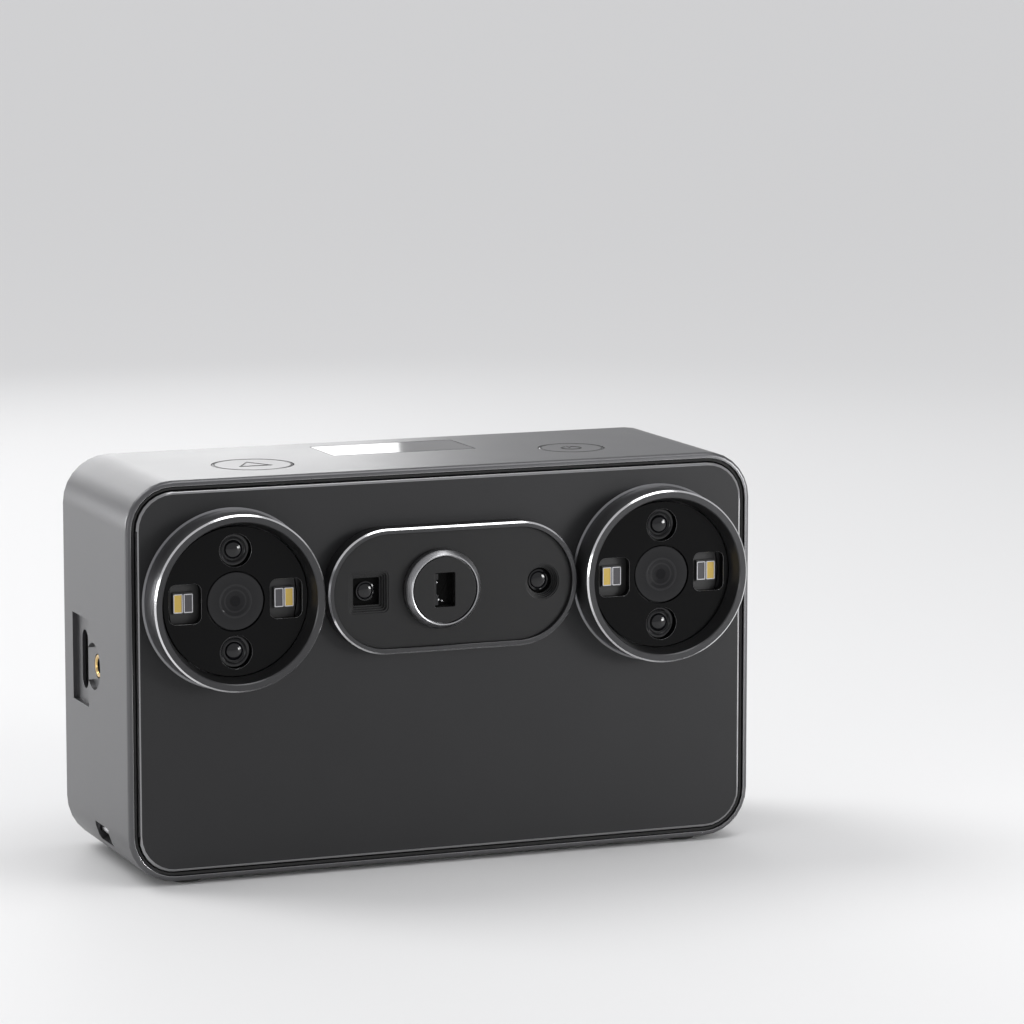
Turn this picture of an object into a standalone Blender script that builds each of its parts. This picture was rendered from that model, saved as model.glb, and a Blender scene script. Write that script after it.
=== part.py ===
"""Handheld three-d scanner: a ring frame closed by a front and a back cover.

Two round camera modules and a projector module look out of the front. The back carries a touch screen
with a thumb scoop beside it. One end has a switch panel and a hinged battery door, the other a cable
socket and a lanyard slot, and the top has two push buttons.

+X is to the right for someone who looks at the front, which faces -Y. +Z is up, and the origin is the
middle of the footprint, on the surface that the feet stand on.
"""
import math

import bmesh
import bpy

MM = 0.001

# Body, whose outside grows from what it holds
CORNER_RADIUS = 13.4 * MM
WALL = 2.4 * MM
LIP = 1.5 * MM
SHELF_DEPTH = 2.2 * MM
FRONT_FILLET = 1.3 * MM
BACK_FILLET = 3.3 * MM
FACE_SETBACK = 0.3 * MM

# Clearances shared by all pieces
GAP = 0.3 * MM
SEAM = 0.35 * MM
OVERRUN = 1.0 * MM

# Covers and their gaskets
COVER_THICKNESS = 2.4 * MM
FRONT_MARGIN = 2.8 * MM
BACK_MARGIN = 3.5 * MM
FRONT_EDGE = 0.8 * MM
BACK_EDGE = 1.3 * MM
GASKET_WIDTH = 0.6 * MM
GASKET_DEPTH = 1.0 * MM
BACK_GASKET_SINK = 1.6 * MM

# Thumb scoop in the back cover
SCOOP_DEPTH = 5.9 * MM
SCOOP_WIDTH = 8.3 * MM
SCOOP_FLOOR = 1.4 * MM
SCOOP_HEIGHT = 44.0 * MM
SCOOP_END = 3.6 * MM
SCOOP_RISE = 14.6 * MM
SCOOP_CORNER = 4.0 * MM
SCOOP_WALL = 2.4 * MM

# Camera modules, from the window in the middle of the plate outwards
BEZEL_HEIGHT = 9.4 * MM
BEZEL_BASE_FILLET = 0.8 * MM
BEZEL_RIM_WIDTH = 2.3 * MM
BEZEL_RIM_EDGE = 0.5 * MM
BEZEL_MOUTH_EDGE = 0.3 * MM
SPIGOT_WALL = 2.9 * MM
SPIGOT_LENGTH = 3.0 * MM
MODULE_PLATE_EDGE = 0.82 * MM
MODULE_PLATE_SINK = 4.6 * MM
MODULE_PLATE_THICKNESS = 2.6 * MM
MODULE_SEAT_WIDTH = 1.2 * MM
MODULE_LEDGE_WIDTH = 2.0 * MM
CAMERA_WINDOW_RADIUS = 8.0 * MM
CAMERA_WINDOW_THICKNESS = 1.3 * MM
CAMERA_WINDOW_SINK = 0.2 * MM
LAMP_HOLE_GAP = 1.1 * MM
LAMP_HOLE_RADIUS = 4.6 * MM
LAMP_LENS_RADIUS = 4.2 * MM
LAMP_DOME_RADIUS = 3.0 * MM
LAMP_FLANGE = 0.6 * MM
LAMP_DOME_HEIGHT = 1.2 * MM
FLASH_WINDOW_GAP = 1.5 * MM
FLASH_WINDOW_WIDTH = 9.2 * MM
FLASH_WINDOW_HEIGHT = 11.0 * MM
FLASH_WINDOW_CORNER = 2.0 * MM
FLASH_BASE_WIDTH = 5.8 * MM
FLASH_BASE_HEIGHT = 6.0 * MM
FLASH_BASE_THICKNESS = 0.5 * MM
FLASH_CHIP_WIDTH = 2.4 * MM
FLASH_CHIP_HEIGHT = 5.2 * MM
FLASH_CHIP_RISE = 0.4 * MM
FLASH_CHIP_OVERLAP = 0.1 * MM
LAMP_BOARD_THICKNESS = 1.2 * MM
BARREL_RADIUS = 6.0 * MM
CAMERA_BODY_SIZE = 38.0 * MM
CAMERA_BODY_CORNER = 3.0 * MM
CAMERA_SIDE_ROOM = 10.4 * MM
CAMERA_BAY_GAP = 1.2 * MM

# Centre module, from the projector outwards
PILL_GAP = 0.5 * MM
PILL_HEIGHT = 35.0 * MM
PILL_RISE = 5.5 * MM
PILL_RIM_EDGE = 0.4 * MM
PILL_RIM_WIDTH = 1.3 * MM
PILL_SPIGOT_INSET = 1.9 * MM
PILL_LEDGE_INSET = 3.0 * MM
WINDOW_SINK = 1.2 * MM
WINDOW_THICKNESS = 3.2 * MM
PROJECTOR_OFFSET = 3.2 * MM
PROJECTOR_RADIUS = 11.1 * MM
PROJECTOR_RISE = 3.6 * MM
PROJECTOR_CHAMFER = 1.9 * MM
PROJECTOR_CHAMFER_INSET = 1.3 * MM
PROJECTOR_BORE_RADIUS = 9.5 * MM
PROJECTOR_TUBE_RADIUS = 9.9 * MM
PROJECTOR_LEDGE_RADIUS = 8.0 * MM
PROJECTOR_TUBE_LENGTH = 9.5 * MM
PROJECTOR_DISC_THICKNESS = 1.6 * MM
PROJECTOR_DISC_SINK = 0.3 * MM
PROJECTOR_WINDOW_WIDTH = 5.9 * MM
PROJECTOR_WINDOW_HEIGHT = 9.5 * MM
PROJECTOR_BODY_SIZE = 26.0 * MM
PROJECTOR_BODY_CORNER = 2.0 * MM
SQUARE_CAMERA_GAP = 4.3 * MM
SQUARE_CAMERA_END = 12.0 * MM
SQUARE_FUNNEL_MOUTH = 11.6 * MM
SQUARE_FUNNEL_THROAT = 7.4 * MM
SQUARE_FUNNEL_CORNER = 1.0 * MM
SQUARE_CAMERA_SIZE = 13.0 * MM
ROUND_CAMERA_GAP = 14.1 * MM
ROUND_CAMERA_END = 10.2 * MM
ROUND_FUNNEL_MOUTH = 5.0 * MM
ROUND_FUNNEL_THROAT = 3.0 * MM
ROUND_CAMERA_RADIUS = 6.0 * MM
FUNNEL_STEPS = 3
LENS_BULGE = 0.5 * MM

# Chassis and what it carries
CHASSIS_DEPTH = 20.3 * MM
CHASSIS_THICKNESS = 2.5 * MM
CHASSIS_TOP_MARGIN = 9.2 * MM
CHASSIS_BOTTOM_MARGIN = 16.0 * MM
CHASSIS_CORNER = 9.0 * MM
LUG_WIDTH = 8.9 * MM
LUG_HEIGHT = 7.0 * MM
LUG_LENGTH = 6.0 * MM
LUG_MARGIN = 1.2 * MM
SCREW_HEAD_RADIUS = 2.6 * MM
SCREW_HEAD_HEIGHT = 1.8 * MM
SCREW_RADIUS = 1.4 * MM
SCREW_LENGTH = 8.0 * MM
SCREW_SIDE_MARGIN = 6.8 * MM
UPPER_SCREW_MARGIN = 16.7 * MM
LOWER_SCREW_MARGIN = 24.0 * MM
BOARD_THICKNESS = 1.6 * MM
BOARD_BAY_GAP = 1.0 * MM
REAR_SPACE = 18.4 * MM
BOARD_MARGIN = 13.0 * MM
BOARD_CORNER = 2.0 * MM
STANDOFF_RADIUS = 2.5 * MM
STANDOFF_MARGIN = 6.0 * MM
HEAT_SINK_WIDTH = 44.0 * MM
HEAT_SINK_HEIGHT = 44.0 * MM
HEAT_SINK_BASE = 4.0 * MM
HEAT_SINK_FINS = 7
HEAT_SINK_FIN = 2.0 * MM
HEAT_SINK_MARGIN = 20.3 * MM

# Screen
GLASS_SIDE_BORDER = 13.8 * MM
GLASS_END_BORDER = 8.4 * MM
GLASS_THICKNESS = 1.2 * MM
GLASS_CORNER = 4.2 * MM
GLASS_EDGE = 0.3 * MM
DISPLAY_WIDTH = 121.8 * MM
DISPLAY_HEIGHT = 68.5 * MM
DISPLAY_BORDER = 1.8 * MM
DISPLAY_OFFSET = 1.6 * MM
DISPLAY_FLANGE = 3.0 * MM
DISPLAY_FLANGE_THICKNESS = 2.4 * MM

# End panels on the +X side
END_PANEL_FRONT_MARGIN = 4.0 * MM
END_PANEL_SPACING = 8.8 * MM
END_PANEL_WIDTH = 39.3 * MM
END_PANEL_THICKNESS = 1.4 * MM
SWITCH_PANEL_HEIGHT = 28.0 * MM
SWITCH_PANEL_TOP_MARGIN = 15.3 * MM
SWITCH_PANEL_CORNER = 5.0 * MM
SWITCH_WINDOW_WIDTH = 12.0 * MM
SWITCH_WINDOW_HEIGHT = 7.7 * MM
SWITCH_WINDOW_CORNER = 1.8 * MM
SLIDER_KNOB_WIDTH = 10.0 * MM
SLIDER_KNOB_HEIGHT = 2.8 * MM
SLIDER_SINK = 0.3 * MM
SLIDER_SHOE_WIDTH = 13.4 * MM
SLIDER_SHOE_HEIGHT = 5.0 * MM
SLIDER_SHOE_THICKNESS = 0.8 * MM
SLIDER_TRAVEL = 3.6 * MM
SWITCH_BODY_SIZE = 16.0 * MM
SWITCH_BODY_THICKNESS = 5.0 * MM
PINHOLE_GAP = 7.0 * MM
PINHOLE_TOP_MARGIN = 45.0 * MM
PINHOLE_RADIUS = 1.1 * MM
MICROPHONE_RADIUS = 2.6 * MM
MICROPHONE_LENGTH = 2.5 * MM

# Battery door, its hinge and its latch
DOOR_BOTTOM = 14.6 * MM
DOOR_HEIGHT = 44.0 * MM
DOOR_CORNER = 4.6 * MM
DOOR_LEDGE = 1.2 * MM
KNUCKLE_RADIUS = 1.6 * MM
HINGE_PIN_RADIUS = 0.65 * MM
EAR_LENGTH = 4.0 * MM
EAR_HEIGHT = 4.4 * MM
EAR_REACH = 4.2 * MM
NAIL_SLOT_WIDTH = 18.7 * MM
NAIL_SLOT_HEIGHT = 0.8 * MM
LATCH_WINDOW_WIDTH = 13.8 * MM
LATCH_WINDOW_HEIGHT = 11.9 * MM
LATCH_WINDOW_CORNER = 0.8 * MM
LATCH_DROP = 14.4 * MM
LATCH_BAR_WIDTH = 12.2 * MM
LATCH_BAR_HEIGHT = 3.2 * MM
LATCH_BAR_SINK = 0.2 * MM
LATCH_PLATE_WIDTH = 16.6 * MM
LATCH_PLATE_HEIGHT = 20.0 * MM
LATCH_PLATE_THICKNESS = 0.8 * MM
RAIL_WIDTH = 1.0 * MM
RAIL_HEIGHT = 1.0 * MM

# Battery and its bay
BAY_WALL = 1.2 * MM
BAY_END_ROOM = 2.5 * MM
BAY_MARGIN = 1.2 * MM
BATTERY_LENGTH = 66.0 * MM
BATTERY_CORNER = 8.0 * MM

# Top
BUTTON_DEPTH = 24.0 * MM
SCAN_BUTTON_OFFSET = 48.2 * MM
SCAN_BUTTON_RADIUS = 11.3 * MM
POWER_BUTTON_OFFSET = 47.2 * MM
POWER_BUTTON_RADIUS = 9.3 * MM
BUTTON_FLANGE = 1.4 * MM
BUTTON_FLANGE_THICKNESS = 0.8 * MM
BUTTON_TRAVEL = 0.8 * MM
BUTTON_EDGE = 0.25 * MM
BUTTON_CLEARANCE = 0.1 * MM
TACTILE_SIZE = 6.0 * MM
TACTILE_HEIGHT = 2.0 * MM
BUTTON_BOARD_END = 4.8 * MM
BUTTON_BOARD_DEPTH = 14.0 * MM
POST_RADIUS = 2.5 * MM
POST_OFFSET = 28.0 * MM
TOP_PANEL_WIDTH = 43.0 * MM
TOP_PANEL_DEPTH = 20.5 * MM
TOP_PANEL_AT = 42.8 * MM
TOP_PANEL_CORNER = 0.8 * MM
TOP_PANEL_THICKNESS = 1.2 * MM
TOP_PANEL_EDGE = 0.5 * MM

# Cable end on the -X side
SOCKET_DEPTH = 45.0 * MM
SOCKET_REAR_SPACE = 19.0 * MM
SOCKET_RECESS_WIDTH = 15.2 * MM
SOCKET_RECESS_HEIGHT = 24.6 * MM
SOCKET_RECESS_SINK = 1.4 * MM
SOCKET_WIDTH = 5.7 * MM
SOCKET_HEIGHT = 16.7 * MM
SOCKET_BODY_WIDTH = 10.4 * MM
SOCKET_BODY_HEIGHT = 21.4 * MM
SOCKET_BODY_LENGTH = 9.0 * MM
SOCKET_CAVITY = 7.4 * MM
DISH_DEPTH = 32.6 * MM
DISH_RADIUS = 6.6 * MM
INSERT_RADIUS = 3.2 * MM
INSERT_BORE_RADIUS = 1.6 * MM
INSERT_LENGTH = 5.5 * MM
INSERT_EDGE = 0.4 * MM
INSERT_BOSS_RADIUS = 5.4 * MM
INSERT_BOSS_LENGTH = 5.0 * MM

# Lanyard slot in the lower -X corner
LANYARD_DEPTH = 27.2 * MM
LANYARD_WIDTH = 12.2 * MM
LANYARD_MOUTH = 5.6 * MM
LANYARD_POCKET = 6.4 * MM
LANYARD_ANGLE = math.radians(20)
LANYARD_SHELL_SINK = 6.0 * MM
LANYARD_SHELL_RADIUS = 5.4 * MM
LANYARD_SHELL_WALL = 2.4 * MM
LANYARD_BAR_RADIUS = 1.0 * MM
LANYARD_BAR_SINK = 2.2 * MM
LANYARD_BAR_SEAT = 1.6 * MM

# Feet and tripod bush
FOOT_RADIUS = 4.5 * MM
FOOT_HEIGHT = 1.2 * MM
FOOT_SEAT = 0.9 * MM
FOOT_EDGE = 0.3 * MM
FOOT_SIDE_MARGIN = 18.3 * MM
FOOT_FACE_MARGIN = 8.0 * MM
BUSH_RADIUS = 6.5 * MM
BUSH_BORE_RADIUS = 2.7 * MM
BUSH_LENGTH = 9.0 * MM
BUSH_DEPTH = 32.0 * MM
BUSH_BOSS_RADIUS = 9.0 * MM
BUSH_EDGE = 0.4 * MM

# Faceting
CORNER_STEPS = 7
SMALL_STEPS = 3
FILLET_STEPS = 3
BEZEL_STEPS = 40
ROUND_STEPS = 24
SMALL_ROUND_STEPS = 14
SMOOTH_ANGLE = math.radians(32)
MERGE_DISTANCE = 0.001 * MM
SAME_POINT_SHARE = 0.001

# Outline of a camera module, worked out from its windows
LAMP_LENS_OFFSET = CAMERA_WINDOW_RADIUS + GAP + LAMP_HOLE_GAP + LAMP_HOLE_RADIUS
FLASH_OFFSET = CAMERA_WINDOW_RADIUS + GAP + FLASH_WINDOW_GAP + FLASH_WINDOW_WIDTH / 2
FLASH_CORNER = math.hypot(FLASH_OFFSET + FLASH_WINDOW_WIDTH / 2, FLASH_WINDOW_HEIGHT / 2)
MODULE_PLATE_RADIUS = max(FLASH_CORNER, LAMP_LENS_OFFSET + LAMP_HOLE_RADIUS) + MODULE_PLATE_EDGE
BEZEL_RADIUS = MODULE_PLATE_RADIUS + GAP + MODULE_SEAT_WIDTH + BEZEL_RIM_WIDTH
BEZEL_BASE_RADIUS = BEZEL_RADIUS + BEZEL_BASE_FILLET
MODULE_BORE_RADIUS = MODULE_PLATE_RADIUS - MODULE_LEDGE_WIDTH
SPIGOT_RADIUS = MODULE_BORE_RADIUS + SPIGOT_WALL

# Outline of the centre module, worked out from the projector and the two small cameras
PROJECTOR_X = -PROJECTOR_OFFSET
SQUARE_CAMERA_X = PROJECTOR_X - PROJECTOR_RADIUS - SQUARE_CAMERA_GAP - SQUARE_FUNNEL_MOUTH / 2
ROUND_CAMERA_X = PROJECTOR_X + PROJECTOR_RADIUS + ROUND_CAMERA_GAP + ROUND_FUNNEL_MOUTH
PILL_LEFT = SQUARE_CAMERA_X - SQUARE_CAMERA_END
PILL_RIGHT = ROUND_CAMERA_X + ROUND_CAMERA_END
PILL_LENGTH = PILL_RIGHT - PILL_LEFT
PILL_X = (PILL_RIGHT + PILL_LEFT) / 2

# Outside of the body: modules set the width, end panels the height, battery bay and screen the depth
BAY_WIDTH = END_PANEL_WIDTH - GAP * 2
BAY_LENGTH = BATTERY_LENGTH + BAY_WALL + GAP + BAY_END_ROOM
END_PANEL_DEPTH = END_PANEL_FRONT_MARGIN + END_PANEL_WIDTH / 2
BOARD_DEPTH = END_PANEL_DEPTH + BAY_WIDTH / 2 + BOARD_BAY_GAP
MODULE_X = max(-PILL_LEFT, PILL_RIGHT) + PILL_GAP + BEZEL_BASE_RADIUS
HALF_WIDTH = MODULE_X + CAMERA_BODY_SIZE / 2 + CAMERA_SIDE_ROOM
BODY_WIDTH = HALF_WIDTH * 2
BODY_HEIGHT = DOOR_BOTTOM + DOOR_HEIGHT + END_PANEL_SPACING + SWITCH_PANEL_HEIGHT + SWITCH_PANEL_TOP_MARGIN
BODY_DEPTH = max(BOARD_DEPTH + BOARD_THICKNESS + REAR_SPACE, SOCKET_DEPTH + SOCKET_REAR_SPACE)

# Places worked out from the sizes above
BOTTOM = FOOT_HEIGHT
TOP = BOTTOM + BODY_HEIGHT
FRONT = (BEZEL_HEIGHT - BODY_DEPTH) / 2
BACK = FRONT + BODY_DEPTH
MIDDLE = (BOTTOM + TOP) / 2
BAY_TOP = BOTTOM + DOOR_BOTTOM + DOOR_HEIGHT - BAY_MARGIN
BAY_END_X = HALF_WIDTH - WALL - GAP - BAY_LENGTH
MODULE_Z = BAY_TOP + CAMERA_BAY_GAP + CAMERA_BODY_SIZE / 2
MODULE_PLATE_FRONT = BEZEL_HEIGHT - MODULE_PLATE_SINK
MODULE_PLATE_BACK = MODULE_PLATE_FRONT - MODULE_PLATE_THICKNESS
LAMP_BOARD_FRONT = MODULE_PLATE_BACK - GAP
LAMP_BOARD_BACK = LAMP_BOARD_FRONT - LAMP_BOARD_THICKNESS
WINDOW_FRONT = PILL_RISE - WINDOW_SINK
WINDOW_BACK = WINDOW_FRONT - WINDOW_THICKNESS
LEDGE_LEVEL = WINDOW_BACK - GAP
DOOR_AXIS_X = HALF_WIDTH - KNUCKLE_RADIUS
DOOR_AXIS_Z = BOTTOM + DOOR_BOTTOM + KNUCKLE_RADIUS
BAY_BOTTOM = DOOR_AXIS_Z + KNUCKLE_RADIUS + SEAM
LATCH_Z = BOTTOM + DOOR_BOTTOM + DOOR_HEIGHT - LATCH_DROP
PINHOLE_Y = FRONT + END_PANEL_DEPTH + END_PANEL_WIDTH / 2 + PINHOLE_GAP
END_PANEL_Y = FRONT + END_PANEL_DEPTH
SWITCH_PANEL_Z = TOP - SWITCH_PANEL_TOP_MARGIN - SWITCH_PANEL_HEIGHT / 2
CHASSIS_FRONT = -CHASSIS_DEPTH
CHASSIS_BACK = CHASSIS_FRONT - CHASSIS_THICKNESS
MODULES = (("left", -1), ("right", 1))

SIDE_TURNS = {
    "front": (math.pi / 2, 0, 0),
    "back": (math.pi / 2, 0, math.pi),
    "left": (math.pi / 2, 0, -math.pi / 2),
    "right": (math.pi / 2, 0, math.pi / 2),
    "top": (0, 0, 0),
    "bottom": (math.pi, 0, 0),
}

FINISHES = {
    "frame": ((0.16, 0.16, 0.17, 1), 0.42, 0.6),
    "cover": ((0.06, 0.06, 0.065, 1), 0.5, 0.2),
    "seal": ((0.01, 0.01, 0.01, 1), 0.8, 0.0),
    "bezel": ((0.12, 0.12, 0.125, 1), 0.35, 0.7),
    "black": ((0.01, 0.01, 0.011, 1), 0.25, 0.0),
    "lens": ((0.03, 0.03, 0.035, 1), 0.08, 0.0),
    "lamp": ((0.5, 0.5, 0.52, 1), 0.15, 0.0),
    "chip": ((0.75, 0.6, 0.2, 1), 0.5, 0.0),
    "board": ((0.02, 0.12, 0.07, 1), 0.5, 0.0),
    "metal": ((0.6, 0.6, 0.62, 1), 0.35, 0.9),
    "glass": ((0.02, 0.02, 0.022, 1), 0.05, 0.0),
    "display": ((0.06, 0.07, 0.09, 1), 0.3, 0.0),
    "gloss": ((0.2, 0.2, 0.21, 1), 0.06, 0.8),
    "rubber": ((0.02, 0.02, 0.02, 1), 0.85, 0.0),
    "brass": ((0.72, 0.53, 0.25, 1), 0.3, 0.9),
    "battery": ((0.08, 0.09, 0.12, 1), 0.5, 0.0),
}


def clear_scene():
    for item in list(bpy.data.objects):
        bpy.data.objects.remove(item, do_unlink=True)


def new_collection(name):
    collection = bpy.data.collections.new(name)
    bpy.context.scene.collection.children.link(collection)
    return collection


clear_scene()
PARTS = new_collection("three_d_scanner")
CUTTERS = new_collection("cutters")


# Outlines, as lists of points round the middle
def rounded_outline(width, height, radius=0, steps=CORNER_STEPS, centre=(0, 0)):
    """Rectangle with arcs for corners: a circle or an obround where the radius is half a side."""
    if radius <= 0:
        radius, steps = 0, 0
    points = []
    turns = ((1, 1), (-1, 1), (-1, -1), (1, -1))
    for quarter, (right, up) in enumerate(turns):
        corner_u = right * (width / 2 - radius)
        corner_v = up * (height / 2 - radius)
        for step in range(steps + 1):
            angle = math.pi / 2 * (quarter + (step / steps if steps else 0))
            point = (corner_u + radius * math.cos(angle), corner_v + radius * math.sin(angle))
            if not points or math.dist(points[-1], point) > radius * SAME_POINT_SHARE:
                points.append(point)
    if math.dist(points[0], points[-1]) <= radius * SAME_POINT_SHARE:
        points.pop()
    return [(u + centre[0], v + centre[1]) for u, v in points]


def arched_outline(width, height, radius):
    """Outline that stands on a straight lower edge at zero, with its upper corners rounded."""
    whole = rounded_outline(width, height * 2, radius)
    upper = [point for point in whole if point[1] > 0]
    return [(width / 2, 0)] + upper + [(-width / 2, 0)]


def fillet(inset, level, radius, start, end, steps=FILLET_STEPS):
    """Points of an arc in a section, as pairs of inset and level, round the given middle."""
    points = []
    for step in range(steps + 1):
        angle = start + (end - start) * step / steps
        points.append((inset + radius * math.cos(angle), level + radius * math.sin(angle)))
    return points


# Solids, in a local frame whose +Z points out of the side that they are placed on
def new_object(name, mesh, collection):
    item = bpy.data.objects.new(name, mesh)
    collection.objects.link(item)
    return item


def loft(name, sections, closed=False, collection=None):
    """Skin a stack of like outlines, capped at both ends or closed into a ring."""
    bm = bmesh.new()
    rings = [[bm.verts.new((u, v, level)) for u, v in points] for points, level in sections]
    pairs = list(zip(rings, rings[1:]))
    if closed:
        pairs.append((rings[-1], rings[0]))
    else:
        bm.faces.new(rings[0])
        bm.faces.new(rings[-1])
    for lower, upper in pairs:
        for i in range(len(lower)):
            bm.faces.new((lower[i - 1], lower[i], upper[i], upper[i - 1]))
    bmesh.ops.recalc_face_normals(bm, faces=bm.faces)
    mesh = bpy.data.meshes.new(name)
    bm.to_mesh(mesh)
    bm.free()
    mesh.shade_smooth()
    mesh.set_sharp_from_angle(angle=SMOOTH_ANGLE)
    return new_object(name, mesh, collection or PARTS)


def prism(name, points, low, high, collection=None):
    return loft(name, [(points, low), (points, high)], collection=collection)


def drum(name, radius, low, high, steps=ROUND_STEPS, collection=None, centre=(0, 0)):
    bm = bmesh.new()
    height = high - low
    bmesh.ops.create_cone(bm, cap_ends=True, segments=steps, radius1=radius, radius2=radius, depth=height)
    bmesh.ops.translate(bm, vec=(centre[0], centre[1], (low + high) / 2), verts=bm.verts)
    mesh = bpy.data.meshes.new(name)
    bm.to_mesh(mesh)
    bm.free()
    mesh.shade_smooth()
    mesh.set_sharp_from_angle(angle=SMOOTH_ANGLE)
    return new_object(name, mesh, collection or PARTS)


def turned(name, profile, steps=ROUND_STEPS, loop=False, collection=None):
    """Turn a profile of radius and level, which runs down its outer side, round local Z."""
    bm = bmesh.new()
    verts = [bm.verts.new((radius, 0, level)) for radius, level in profile]
    for first, second in zip(verts, verts[1:]):
        bm.edges.new((first, second))
    if loop:
        bm.edges.new((verts[-1], verts[0]))
    mesh = bpy.data.meshes.new(name)
    bm.to_mesh(mesh)
    bm.free()
    item = new_object(name, mesh, collection or PARTS)
    screw = item.modifiers.new("turn", "SCREW")
    screw.axis = "Z"
    screw.steps = steps
    screw.render_steps = steps
    screw.use_merge_vertices = True
    screw.merge_threshold = MERGE_DISTANCE
    screw.use_smooth_shade = True
    return item


def place(item, side, x=0, y=0, z=0, level=0):
    """Put a solid on a side of the body, at a level outside that side's face."""
    item.rotation_euler = SIDE_TURNS[side]
    places = {
        "front": (x, FRONT - level, z),
        "back": (x, BACK + level, z),
        "left": (-HALF_WIDTH - level, y, z),
        "right": (HALF_WIDTH + level, y, z),
        "top": (x, y, TOP + level),
        "bottom": (x, y, BOTTOM - level),
    }
    item.location = places[side]
    return item


def finish(item, key):
    colour, roughness, metallic = FINISHES[key]
    material = bpy.data.materials.new(item.name + "_finish")
    material.use_nodes = True
    shader = material.node_tree.nodes["Principled BSDF"]
    shader.inputs["Base Color"].default_value = colour
    shader.inputs["Roughness"].default_value = roughness
    shader.inputs["Metallic"].default_value = metallic
    item.data.materials.append(material)
    return item


def as_cutter(item):
    item.hide_render = True
    item.display_type = "WIRE"
    return item


def combine(target, tool, operation):
    as_cutter(tool)
    boolean = target.modifiers.new(tool.name, "BOOLEAN")
    boolean.operation = operation
    boolean.object = tool
    boolean.solver = "EXACT"


def cut(target, tool):
    combine(target, tool, "DIFFERENCE")


def join(target, tool):
    combine(target, tool, "UNION")


def round_corner(inset):
    return max(CORNER_RADIUS - inset, MERGE_DISTANCE)


def body_outline(inset):
    return rounded_outline(BODY_WIDTH - inset * 2, BODY_HEIGHT - inset * 2, round_corner(inset))


# Middle frame
def frame_section():
    """Section of the ring, as pairs of inset and level, with the front fillet first."""
    front = -FACE_SETBACK
    back = FACE_SETBACK - BODY_DEPTH
    points = fillet(FRONT_FILLET, front - FRONT_FILLET, FRONT_FILLET, math.pi / 2, math.pi)
    sweep = math.acos((BACK_FILLET - WALL) / BACK_FILLET) if WALL < BACK_FILLET else math.pi / 2
    points += fillet(BACK_FILLET, back + BACK_FILLET, BACK_FILLET, math.pi, math.pi + sweep)
    points += [(WALL, -SHELF_DEPTH), (LIP, -SHELF_DEPTH), (LIP, front)]
    return points


def end_panel_pocket(frame, name, height, centre_z, corner, depth):
    outline = rounded_outline(END_PANEL_WIDTH + SEAM * 2, height + SEAM * 2, corner + SEAM)
    tool = prism(name, outline, -depth, OVERRUN, CUTTERS)
    cut(frame, place(tool, "right", y=END_PANEL_Y, z=centre_z))


def cut_switch_end(frame):
    end_panel_pocket(frame, "switch_pocket", SWITCH_PANEL_HEIGHT, SWITCH_PANEL_Z, SWITCH_PANEL_CORNER,
                     END_PANEL_THICKNESS + GAP)
    height = SLIDER_SHOE_HEIGHT + SLIDER_TRAVEL + GAP * 2
    hole = rounded_outline(SLIDER_SHOE_WIDTH + GAP * 2, height)
    tool = prism("slider_hole", hole, -WALL - OVERRUN, 0, CUTTERS)
    cut(frame, place(tool, "right", y=END_PANEL_Y, z=slider_rest_z() - SLIDER_TRAVEL / 2))
    pinhole = drum("pinhole", PINHOLE_RADIUS, -WALL - OVERRUN, OVERRUN, SMALL_ROUND_STEPS, CUTTERS)
    cut(frame, place(pinhole, "right", y=PINHOLE_Y, z=TOP - PINHOLE_TOP_MARGIN))


def cut_door_end(frame):
    centre_z = BOTTOM + DOOR_BOTTOM + DOOR_HEIGHT / 2
    end_panel_pocket(frame, "door_pocket", DOOR_HEIGHT, centre_z, DOOR_CORNER, END_PANEL_THICKNESS + GAP)
    bottom = BOTTOM + DOOR_BOTTOM - SEAM
    knuckle_top = DOOR_AXIS_Z + KNUCKLE_RADIUS + SEAM
    slot = rounded_outline(END_PANEL_WIDTH + SEAM * 2, knuckle_top - bottom)
    tool = prism("knuckle_slot", slot, -WALL - OVERRUN, OVERRUN, CUTTERS)
    cut(frame, place(tool, "right", y=END_PANEL_Y, z=(knuckle_top + bottom) / 2))
    top = BOTTOM + DOOR_BOTTOM + DOOR_HEIGHT - DOOR_LEDGE
    mouth = rounded_outline(END_PANEL_WIDTH - DOOR_LEDGE * 2, top - bottom)
    tool = prism("door_mouth", mouth, -WALL - OVERRUN, OVERRUN, CUTTERS)
    cut(frame, place(tool, "right", y=END_PANEL_Y, z=(top + bottom) / 2))


def add_hinge_ears(frame):
    """Two ears inside the wall hold the ends of the hinge pin."""
    door_front = END_PANEL_Y - END_PANEL_WIDTH / 2 - SEAM
    door_back = END_PANEL_Y + END_PANEL_WIDTH / 2 + SEAM
    cover_back = FRONT + COVER_THICKNESS + GAP
    ears = (("front_ear", cover_back, door_front), ("back_ear", door_back, door_back + EAR_LENGTH))
    for name, low, high in ears:
        outline = rounded_outline(high - low, EAR_HEIGHT)
        ear = prism(name, outline, -EAR_REACH, -WALL / 2, CUTTERS)
        join(frame, place(ear, "right", y=(low + high) / 2, z=DOOR_AXIS_Z))
    half_length = (door_back + EAR_LENGTH - cover_back) / 2 + GAP
    bore = drum("pin_bore", HINGE_PIN_RADIUS + GAP, -half_length, half_length, SMALL_ROUND_STEPS, CUTTERS)
    bore.rotation_euler = SIDE_TURNS["front"]
    middle = (cover_back + door_back + EAR_LENGTH) / 2
    bore.location = (DOOR_AXIS_X, middle, DOOR_AXIS_Z)
    cut(frame, bore)


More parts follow.
